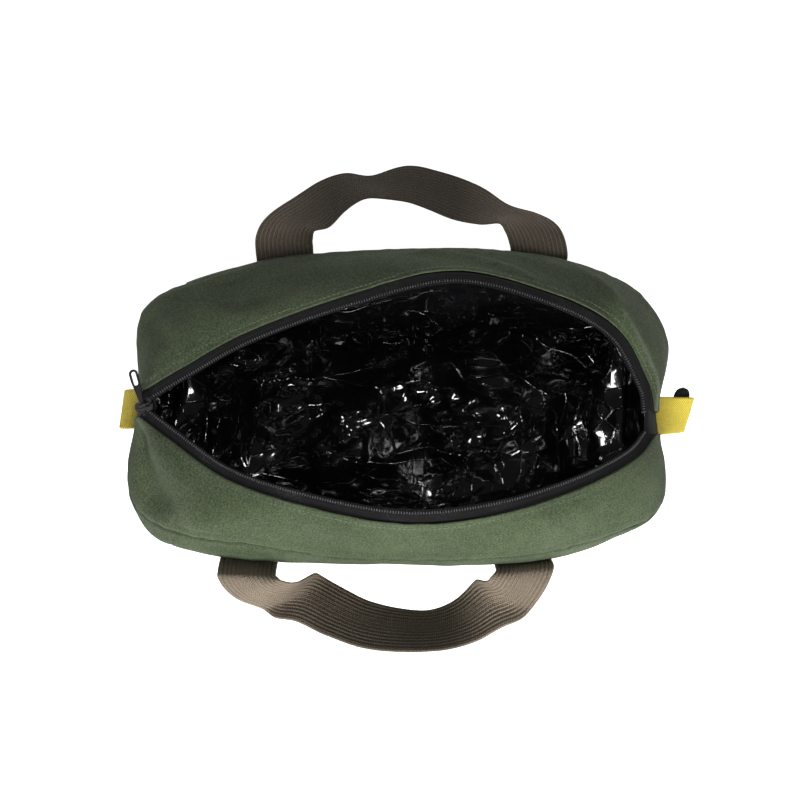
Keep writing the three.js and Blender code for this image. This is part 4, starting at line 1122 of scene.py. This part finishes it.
# %% Handles
HANDLE_COLUMNS, HANDLE_STEPS = 300, RIBS * 6 + 1
HANDLE_SWAY, HANDLE_SWAY_LENGTH = 0.7, 30
RIB_POWER, RIB_SINK, RIB_DEPTH = 0.7, 0.6, 0.4
SEWN_ROWS = len(SEWN_LEVELS) - 0.5
handle_grids = {}
for name, rows, side in (("front", HANDLE_FRONT, -1), ("back", HANDLE_BACK, 1)):
    grid, at = handle_grid(rows, side, HANDLE_COLUMNS, HANDLE_STEPS)
    share = np.linspace(0, 1, HANDLE_STEPS)[None, :]
    along, across = run_length(grid, 0), share * HANDLE_WIDTH
    free = np.clip(np.minimum(at - SEWN_ROWS, at[-1] - SEWN_ROWS - at), 0, 1)[:, None]
    sway = soft_noise(90 + side, along / HANDLE_SWAY_LENGTH, across / HANDLE_SWAY_LENGTH)
    sway = HANDLE_SWAY * sway * free
    normal = grid_normals(grid)
    handle_grids[name] = grid + normal * sway[..., None]
    rib = RIB_HEIGHT * (np.abs(np.sin(np.pi * RIBS * share)) ** RIB_POWER - RIB_SINK) + 0 * along
    ribbed = handle_grids[name] + normal * rib[..., None]
    piece = cloth_sheet(f"strap_{name}", ribbed, WEBBING - RIB_DEPTH, handle_webbing)
    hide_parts(f"handle_{name}")
    declare_cloth(piece, grid)

# %% [markdown]
# ## End tabs
# A short loop of yellow webbing is caught in the seam at each end of the bag, to hold it by while the zip is
# pulled. The webbing leaves the seam, folds round and comes back under itself; the black end of the zip tape
# sticks out of the right one.

# %% End tabs
TAB_WIDTH, TAB_FOLD_RADIUS, TAB_ROOT_DROP, TAB_STAND = 25.0, 3.4, 4.5, 1.0
TAB_SEWN = 4.0  # webbing inside the seam
TAB_ROOT_HALF = TAB_WEBBING / 2 + GAP / 2
TAB_WAVE, TAB_WAVE_LENGTHS = 0.25, (9, 8)
TAB_COLUMNS, TAB_STEPS = 80, 36
TABS = {
    # side, middle, length, droop of the front and back edges in degrees, how far the fold draws in, how far
    # the front edge hangs below the back one
    "left": (-1, 0.5, 12, 15, 50, 0, 8),
    "right": (1, -5, 25, 46, 13, 2.8, 0),
}


def tab_edges(side, middle, length, droop_front, droop_back, gather, twist):
    """Where the tab leaves the seam and where it folds, at its front and back edges."""
    edges = []
    for offset, droop, shift, low in (
            (-TAB_WIDTH / 2, droop_front, gather, twist), (TAB_WIDTH / 2, droop_back, 0, 0)):
        across = (middle + offset) / WALL[-1][2]
        seam = wall_point(across if side > 0 else 4 - across, 1.0)
        slope = math.radians(droop)
        stand = CANVAS / 2 + TAB_STAND + (TAB_ROOT_HALF + TAB_WEBBING / 2) * math.sin(slope)
        root = np.array([seam[0] + side * stand, middle + offset, seam[2] - TAB_ROOT_DROP - low])
        way = np.array([side * math.cos(slope), 0, -math.sin(slope)])
        fold = root + way * (length - TAB_FOLD_RADIUS) + np.array([0, shift, 0])
        edges.append((root - way * TAB_SEWN, fold))
    return edges


def tab_grid(settings, columns, steps):
    side, length = settings[0], settings[2]
    (front_root, front_fold), (back_root, back_fold) = tab_edges(*settings)
    v = np.linspace(0, 1, steps)[None, :, None]
    root = front_root + (back_root - front_root) * v
    fold = front_fold + (back_fold - front_fold) * v
    out = unit(fold - root)
    up = unit(np.stack([-out[..., 2] * side, 0 * out[..., 0], out[..., 0] * side], axis=-1))
    straight, bend = length + TAB_SEWN - TAB_FOLD_RADIUS, math.pi * TAB_FOLD_RADIUS
    run = np.linspace(0, 2 * straight + bend, columns)[:, None, None]
    angle = np.clip((run - straight) / TAB_FOLD_RADIUS, 0, math.pi)
    share = np.clip(np.minimum(run, 2 * straight + bend - run) / straight, 0, 1)
    half = TAB_ROOT_HALF + (TAB_FOLD_RADIUS - TAB_ROOT_HALF) * share**2 * (3 - 2 * share)
    return root + (fold - root) * share + up * half * np.cos(angle) + out * TAB_FOLD_RADIUS * np.sin(angle)


for name, settings in TABS.items():
    grid = tab_grid(settings, TAB_COLUMNS, TAB_STEPS)
    along, across = (run_length(grid, axis) / TAB_WAVE_LENGTHS[axis] for axis in (0, 1))
    waves = TAB_WAVE * soft_noise(100 + settings[0], along, across)
    waved = grid + grid_normals(grid) * waves[..., None]
    piece = cloth_sheet(f"tab_{name}", waved, TAB_WEBBING, tab_webbing)
    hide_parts(f"end_tab_{name}")
    declare_cloth(piece, grid)

# %% Zip tail
# first and last are shares of the tab's width, the rest but blunt is in millimetres
TAIL = {
    "first": 0.15, "last": 1.32, "middle": 16.4, "half": 5.0, "thickness": 1.6, "curl": 1.5, "blunt": 0.02}
u, v = np.meshgrid(np.linspace(0, 1, 60), np.linspace(0, 1, 24), indexing="ij")
share = TAIL["first"] + (TAIL["last"] - TAIL["first"]) * u
beyond = np.maximum(0, (share - 1) / (TAIL["last"] - 1))
half = TAIL["half"] * np.sqrt(np.maximum(TAIL["blunt"], 1 - beyond**2))
to_fold = TAB_SEWN + TABS["right"][2] - TAB_FOLD_RADIUS
run = ((TAB_SEWN + TAIL["middle"] + (2 * v - 1) * half) / to_fold)[..., None]
front_edge, back_edge = (root + (fold - root) * run for root, fold in tab_edges(*TABS["right"]))
grid = front_edge + (back_edge - front_edge) * share[..., None]
grid[..., 2] -= TAIL["curl"] * beyond**2
piece = cloth_sheet("tail", grid, TAIL["thickness"], zip_tape)
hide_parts("zip_tail")
declare_cloth(piece, grid)

# %% [markdown]
# ## Slider and pull
# The slider's two plates pinch the coils together, a post between them parts the coils, and a bail on top
# holds the pull. Flat outlines become rounded plates when a 2-D curve is extruded with a bevel, which gives
# the soft edges of a casting without any boolean work. The pull turns on the bail, so it rides on a body of
# its own.

# %% Metal helpers
def arc(x, y, radius, first, last, steps=8):
    turns = np.radians(np.linspace(first, last, steps))
    return [(x + radius * math.cos(a), y + radius * math.sin(a)) for a in turns]


def plate(outlines, thickness, rounding, lift=0.0):
    """A flat plate with rounded edges as points and faces, in millimetres, its middle at the lift."""
    curve = bpy.data.curves.new("plate", "CURVE")
    curve.dimensions, curve.fill_mode = "2D", "BOTH"
    curve.extrude, curve.bevel_depth = thickness / 2 - rounding, rounding
    curve.bevel_resolution, curve.offset = 2, -rounding
    for outline in outlines:
        spline = curve.splines.new("POLY")
        spline.points.add(len(outline) - 1)
        spline.points.foreach_set("co", np.array([(x, y, 0, 1) for x, y in outline], np.float32).ravel())
        spline.use_cyclic_u = True
    holder = bpy.data.objects.new("plate", curve)
    mesh = bpy.data.meshes.new_from_object(holder)
    bpy.data.objects.remove(holder)
    points = np.zeros(len(mesh.vertices) * 3, np.float32)
    mesh.vertices.foreach_get("co", points)
    return points.reshape(-1, 3) + (0, 0, lift), [tuple(face.vertices) for face in mesh.polygons]


def tube(path, radius, sides=12):
    """A round bar along points, as points and faces."""
    path = np.asarray(path, float)
    along = unit(np.gradient(path, axis=0))
    side = unit(np.cross(along, (0.31, 0.2, 0.93)))
    other = np.cross(along, side)
    turn = np.linspace(0, 2 * np.pi, sides, endpoint=False)[:, None]
    rings = path[:, None] + radius * (np.cos(turn) * side[:, None] + np.sin(turn) * other[:, None])
    faces = [tuple(range(sides))[::-1], tuple(range((len(path) - 1) * sides, len(path) * sides))]
    for i in range(len(path) - 1):
        for j in range(sides):
            k = (j + 1) % sides
            faces.append((i * sides + j, i * sides + k, (i + 1) * sides + k, (i + 1) * sides + j))
    return rings.reshape(-1, 3), faces


def metal_piece(name, parts, place, body):
    """One metal piece from several closed shapes, set in its place."""
    points, faces = joined(parts)
    turned = points @ np.array(place.to_3x3()).T + np.array(place.translation)
    piece = make_piece(name, turned, faces, slider_metal, body=body)
    piece.data.set_sharp_from_angle(angle=math.radians(40))
    print(name, "at", [round(v, 1) for v in place.translation], "mm")
    return piece


# %% Slider
SLIDER = {
    "x": -167.2, "y": -0.8, "turn": 18, "pitch": 10, "length": 12, "width": 9, "plate": 1.4, "corner": 2.5}
SLIDER_TOP, SLIDER_BOTTOM, NOSE_SHARE, PLATE_ROUNDING = 153.6, 147.6, 0.7, 0.45
POST_RADIUS, POST_FORWARD, ROOT = 1.3, 3.6, 0.4  # posts and bails are rooted this deep in their plate
BAIL = {"rod": 0.8, "height": 2.7, "half_length": 4.2, "leg": 1.6, "bend": 1.2}
SPINE_RADIUS, SPINE_LIFT, SPINE_ENDS = 0.55, 0.15, (1.6, 1.4)

x, y, r = SLIDER["length"] / 2, SLIDER["width"] / 2, SLIDER["corner"]
thick, inside = SLIDER["plate"], SLIDER_BOTTOM - SLIDER_TOP
nose = y * NOSE_SHARE
outline = [*arc(x - r, -y + r, r, -90, 0), *arc(x - r, y - r, r, 0, 90), *arc(-x + r, 0, nose, 90, 270, 14)]
upper_plate = plate([outline], thick, PLATE_ROUNDING, thick / 2)
lower_plate = plate([outline], thick, PLATE_ROUNDING, inside - thick / 2)
post = tube([(POST_FORWARD, 0, z) for z in np.linspace(inside - ROOT, ROOT, 4)], POST_RADIUS)
reach, top, bend = BAIL["half_length"] + BAIL["leg"] / 2, thick + BAIL["height"], BAIL["bend"]
arch = [
    (-reach, thick - ROOT), (-reach, top - bend), *arc(-reach + bend, top - bend, bend, 170, 90, 6),
    *arc(reach - bend, top - bend, bend, 90, 10, 6), (reach, top - bend), (reach, thick - ROOT)]
bail = tube([(px, 0, pz) for px, pz in arch], BAIL["rod"])
spine_path = np.linspace(-x + SPINE_ENDS[0], x - SPINE_ENDS[1], 6)
spine = tube([(px, 0, thick + SPINE_LIFT) for px in spine_path], SPINE_RADIUS)
turn = Matrix.Rotation(math.radians(SLIDER["turn"]), 4, "Z")
turn = turn @ Matrix.Rotation(-math.radians(SLIDER["pitch"]), 4, "Y")
slider_place = Matrix.Translation((SLIDER["x"], SLIDER["y"], SLIDER_TOP)) @ turn
piece = metal_piece("slider", [upper_plate, lower_plate, post, bail, spine], slider_place, "bag")
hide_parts("zip_slider")

# %% Pull
PULL = {
    "length": 25, "neck": 3.4, "neck_length": 4, "width": 6.2, "thickness": 1.5, "rounding": 0.5, "droop": 4}
PULL_SLOT = {"width": 3.0, "length": 9.5}
BARREL = {"outer": 1.8, "inner": 1.2, "half_length": 2.4, "sides": 24}

neck, half, slot_half = PULL["neck"] / 2, PULL["width"] / 2, PULL_SLOT["width"] / 2
begin, loop = (BARREL["outer"] + BARREL["inner"]) / 2, PULL["length"] - PULL["width"] / 2
neck_end, widest = begin + PULL["neck_length"], loop - PULL_SLOT["length"] / 2
outline = [
    (-neck, begin), (neck, begin), (neck, neck_end), (half, widest), *arc(0, loop, half, 0, 180, 14),
    (-half, widest), (-neck, neck_end)]
slot_end = loop - PULL_SLOT["length"] + PULL_SLOT["width"]
slot = [*arc(0, loop, slot_half, 0, 180, 10), *arc(0, slot_end, slot_half, 180, 360, 10)]
tongue = plate([outline, slot], PULL["thickness"], PULL["rounding"])
inner, outer, reach, sides = BARREL["inner"], BARREL["outer"], BARREL["half_length"], BARREL["sides"]
profile = [(inner, -reach), (outer, -reach), (outer, reach), (inner, reach)]
turns = np.linspace(0, 2 * np.pi, sides, endpoint=False)
barrel_points = np.array([(h, r * math.cos(a), r * math.sin(a)) for a in turns for r, h in profile])
barrel_faces = []
for i in range(sides):
    for j in range(4):
        a, b = i * 4, ((i + 1) % sides) * 4
        barrel_faces.append((a + j, a + (j + 1) % 4, b + (j + 1) % 4, b + j))
hang = Matrix.Translation((0, 0, top)) @ Matrix.Rotation(-math.radians(PULL["droop"]), 4, "X")
piece = metal_piece("pull_tab", [tongue, (barrel_points, barrel_faces)], slider_place @ hang, "pull")
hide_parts("zip_pull")

# %% [markdown]
# ## Lining
# A bag of thin black film lines the inside, caught under the zip tape and hanging loose. Film keeps every
# crease it is given, so its folds are sums of triangle waves in many directions: flat facets that meet in
# sharp lines, bent a little by noise. They are measured in space, so they run on from the walls to the floor.

# %% Lining form
LINING_GAP = CANVAS / 2 + GAP + 1.6
LINING_FLOOR = 4.0
LINING_UNDER_TAPE = CANVAS / 2 + TAPE + 2 * GAP + 1.2
LINING_END_DROP = 5.0
SEAM_INSIDE, SEAM_BELOW, SEAM_SHARE = 1, 2.5, 0.15  # how the film stays clear of the seam inside the bag
TOP_SHARES = [0.96, 0.8, 0.6, 0.4, 0.2, 0.0]
WALL_LEVELS = [0.9, 0.75, 0.6, 0.48, 0.4]
FLOOR_SHARE = 0.93
FOOT_LEVEL, FOOT_SHARE, FOOT_HEIGHT = 0.3, 0.985, 9.0
LINING_COLUMNS, LINING_ROWS = 340, 92


def inside_wall(around, level, depth):
    """A place inside a wall, with its folds."""
    step = 0.01
    along = wall_point(around + step, level) - wall_point(around - step, level)
    up = wall_point(around, level + step) - wall_point(around, level - step)
    normal = unit(np.cross(along, up))
    fold = fold_height(around, level) * edge_fade(level)
    return wall_point(around, level) + normal * (fold - depth)[..., None]


def under_top(around, share, depth):
    """A place under a top panel: share is 0 at the seam and 1 at the mouth."""
    seam = wall_point(around, 1.0)
    inward = unit(seam * (1, 1, 0))
    seam = seam - inward * (LINING_GAP + SEAM_INSIDE) - np.array((0, 0, SEAM_BELOW))
    t = np.full_like(around, max(share, 1e-4))
    step = 0.006
    up = top_point(around, np.minimum(t + step, 1)) - top_point(around, t - step)
    normal = unit(np.cross(along_top(around, t, step), up))
    from_end = np.minimum(np.mod(around, 4), 4 - np.mod(around, 4))
    dent = np.maximum(0, -fold_height(around, 1 + t)) + LINING_END_DROP * np.maximum(0, 1 - 2 * from_end)
    top = top_point(around, t) - normal * (depth + dent)[..., None]
    return seam + (top - seam) * min(1, SEAM_SHARE + share)


around = np.linspace(0, 8, LINING_COLUMNS, endpoint=False)
rings = [under_top(around, share, LINING_UNDER_TAPE) for share in TOP_SHARES]
rings += [inside_wall(around, level, LINING_GAP) for level in WALL_LEVELS]
foot = inside_wall(around, FOOT_LEVEL, LINING_GAP)
for share, height in ((FOOT_SHARE, FOOT_HEIGHT), (FLOOR_SHARE, LINING_FLOOR)):
    rings.append(foot * (share, share, 0) + np.array((0, 0, height)))
rings = np.stack(rings)
profile = read_table(rings.reshape(len(rings), -1), np.linspace(0, len(rings) - 1, LINING_ROWS))
wall_film = profile.reshape(LINING_ROWS, LINING_COLUMNS, 3).transpose(1, 0, 2)


def floor_edge(around):
    return inside_wall(around, FOOT_LEVEL, LINING_GAP)[..., :2] * FLOOR_SHARE


side_points = LINING_COLUMNS // 4 + 1
floor_film = lifted(over_outline(floor_edge, side_points, side_points), LINING_FLOOR)
print("lining film:", wall_film.shape[:2], "on the walls,", floor_film.shape[:2], "on the floor")

# %% Lining creases
LONG_CREASES, SHORT_CREASES = 9, 8
LONG_LENGTHS, SHORT_LENGTHS = (38, 120), (7, 18)
STEEPNESS, CREASE_SWAY, CREASE_ROUNDNESS = 0.1, 0.16, 0.0004
CLUSTER_SIZE, BILLOW, BILLOW_SIZE, PATCH_SIZE = 42, 3, 60, 70
HELD_WIDTH, LOOSE_WIDTH = 9, 45  # from the mouth's edge: film held by the tape, then film that grows loose
HANG, HANG_FROM, HANG_OVER = 9, 20, 40  # how far the loose film sags in, from which height and over how much


def film_folds(places, seed):
    """Height of the film's crumples, in millimetres: long creases, and clusters of short ones."""
    draw = np.random.default_rng(seed)

    def noise(number, size):
        return soft_noise(seed + number, *np.moveaxis(places / size, -1, 0))

    cluster = np.clip(3 * noise(90, CLUSTER_SIZE) - 0.3, 0, 1)
    height = BILLOW * noise(91, BILLOW_SIZE)
    kinds = [(LONG_LENGTHS, None)] * LONG_CREASES + [(SHORT_LENGTHS, cluster)] * SHORT_CREASES
    for i, (lengths, here) in enumerate(kinds):
        way = unit(draw.normal(size=3) * (1, 1, 0.6))
        length = lengths[0] * (lengths[1] / lengths[0]) ** draw.uniform()
        sway = CREASE_SWAY * noise(2 * i, length)
        if here is None:
            here = np.clip(0.5 + 1.5 * noise(2 * i + 1, PATCH_SIZE), 0, 1)
        phase = (places @ way) / length + draw.uniform() + sway
        wave = np.sqrt((phase - np.round(phase)) ** 2 + CREASE_ROUNDNESS)
        height = height + STEEPNESS * length * here * 2 * wave
    return height


def welded(points_a, quads_a, points_b, quads_b):
    """Two grids as one mesh: points closer than a hundredth of a millimetre become one."""
    points = np.concatenate([points_a.reshape(-1, 3), points_b.reshape(-1, 3)])
    faces = np.concatenate([quads_a, quads_b + points_a.size // 3])
    _, first, same = np.unique(points.round(2), axis=0, return_index=True, return_inverse=True)
    return points[first], same.ravel()[faces]


wall_quads = grid_quads(LINING_COLUMNS, LINING_ROWS, closed=True)
points, quads = welded(wall_film, wall_quads, floor_film, grid_quads(side_points, side_points))
edges = points[quads]
face_normals = np.cross(edges[:, 2] - edges[:, 0], edges[:, 3] - edges[:, 1])
normals = np.zeros_like(points)
for corner in range(4):
    np.add.at(normals, quads[:, corner], face_normals)
normals = unit(normals)
nearest = mouth_point(np.linspace(0.01, 7.99, 160))
from_mouth = np.linalg.norm(points[:, None] - nearest[None], axis=-1).min(1)
loose = np.clip((from_mouth - HELD_WIDTH) / LOOSE_WIDTH, 0, 1)
folds = film_folds(points, 200)
hang = HANG * np.clip((points[:, 2] - HANG_FROM) / HANG_OVER, 0, 1)
points = points + normals * (loose * (folds + hang))[:, None]
piece = make_piece("film_lining", points, quads.tolist(), film)
thicken = piece.modifiers.new("film", "SOLIDIFY")
thicken.thickness, thicken.offset = FILM * MM, 0
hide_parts("lining")
flat_film = np.linalg.norm(face_normals, axis=-1).sum() / 2 * MM**2
film_cut = longest_runs(wall_film)
film_cut[1] += np.ptp(floor_film[..., 1]) / 2 * MM
state_cut(piece, film_cut, flat_film)
print("its folds are up to", round(float(folds.max()), 1), "mm high")

# %% [markdown]
# ## Stitches
# Thread holds it all together: a line along each hem, and a box with a cross in the foot of each handle. Each
# stitch is the same small rounded bar as a tooth, longer, lying half sunk in the cloth.

# %% Stitches
STITCH_PITCH = 3.2
STITCH_SIZE = (1.15, 0.3, 0.3)  # half sizes along, across and up
HEM_STITCH_LIFT, HANDLE_STITCH_LIFT = 0.05, 0.1


def sew(path, normal):
    """A line of stitches along a path of points on the cloth, with the cloth's direction at each."""
    run = run_along(path)
    at = even_steps(run, STITCH_PITCH)

    def read(table, distance):
        return np.stack([np.interp(distance, run, table[:, i]) for i in range(3)], axis=-1)

    spot = read(path, at)
    along = unit(read(path, at + 0.5) - spot)
    side = unit(np.cross(unit(read(normal, at)), along))
    lying = np.stack([along, side, np.cross(along, side)], axis=1)
    return stamp(bar[:, [1, 0, 2]], [face[::-1] for face in bar_faces], spot, lying, STITCH_SIZE)


def stitch_piece(name, lines, material):
    points, faces = joined(lines)
    piece = make_piece(name, points, faces, material)
    print(piece.name, len(points) // len(bar), "stitches")


# %% Hem stitches
for name in ("back", "front"):
    grid = top_grids[f"{name}_top"]
    normal = grid_normals(grid)
    up = run_length(grid, 1)
    rows = np.argmin(np.abs(up[:, -1:] - up - HEM_STITCH), axis=1)
    hem = np.arange(len(grid)), rows
    keep = slice(6, -6)
    path = (grid + normal * (CANVAS / 2 + HEM_STITCH_LIFT))[hem][keep]
    stitch_piece(f"hem_stitches_{name}", [sew(path, normal[hem][keep])], thread_green)

# %% Handle stitches
FOOT_SPANS = [(2, 40), (-41, -3)]
FOOT_EDGE = 4
for name, grid in handle_grids.items():
    normal = grid_normals(grid)
    normal = normal * np.sign(normal[10, HANDLE_STEPS // 2, 1] * grid[10, HANDLE_STEPS // 2, 1])
    lines = []
    for first, last in FOOT_SPANS:
        facing = normal[first:last]
        foot = grid[first:last] + facing * (WEBBING / 2 + HANDLE_STITCH_LIFT)
        for column in (FOOT_EDGE, HANDLE_STEPS - FOOT_EDGE - 1):
            lines.append(sew(foot[:, column], facing[:, column]))
        half = len(foot) // 2
        across = slice(FOOT_EDGE, -FOOT_EDGE)
        for row in (0, half, len(foot) - 1):
            lines.append(sew(foot[row, across], facing[row, across]))
        slant = np.linspace(0, 1, 40)
        rows = (slant * (half - 1)).astype(int)
        for lean in (slant, slant[::-1]):
            columns = (FOOT_EDGE + lean * (HANDLE_STEPS - 2 * FOOT_EDGE - 1)).astype(int)
            lines.append(sew(foot[rows, columns], facing[rows, columns]))
    stitch_piece(f"foot_stitches_{name}", lines, thread_taupe)

# %% [markdown]
# ## Size
# The dressed bag may stand only a little proud of the solids, so both boxes are written down and compared.

# %% Size and finish
dressed_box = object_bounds()
for cad_corner, dressed_corner in zip(cad_box, dressed_box):
    print("grown by, mm:", [round((b - a) / MM, 1) for a, b in zip(cad_corner, dressed_corner)])
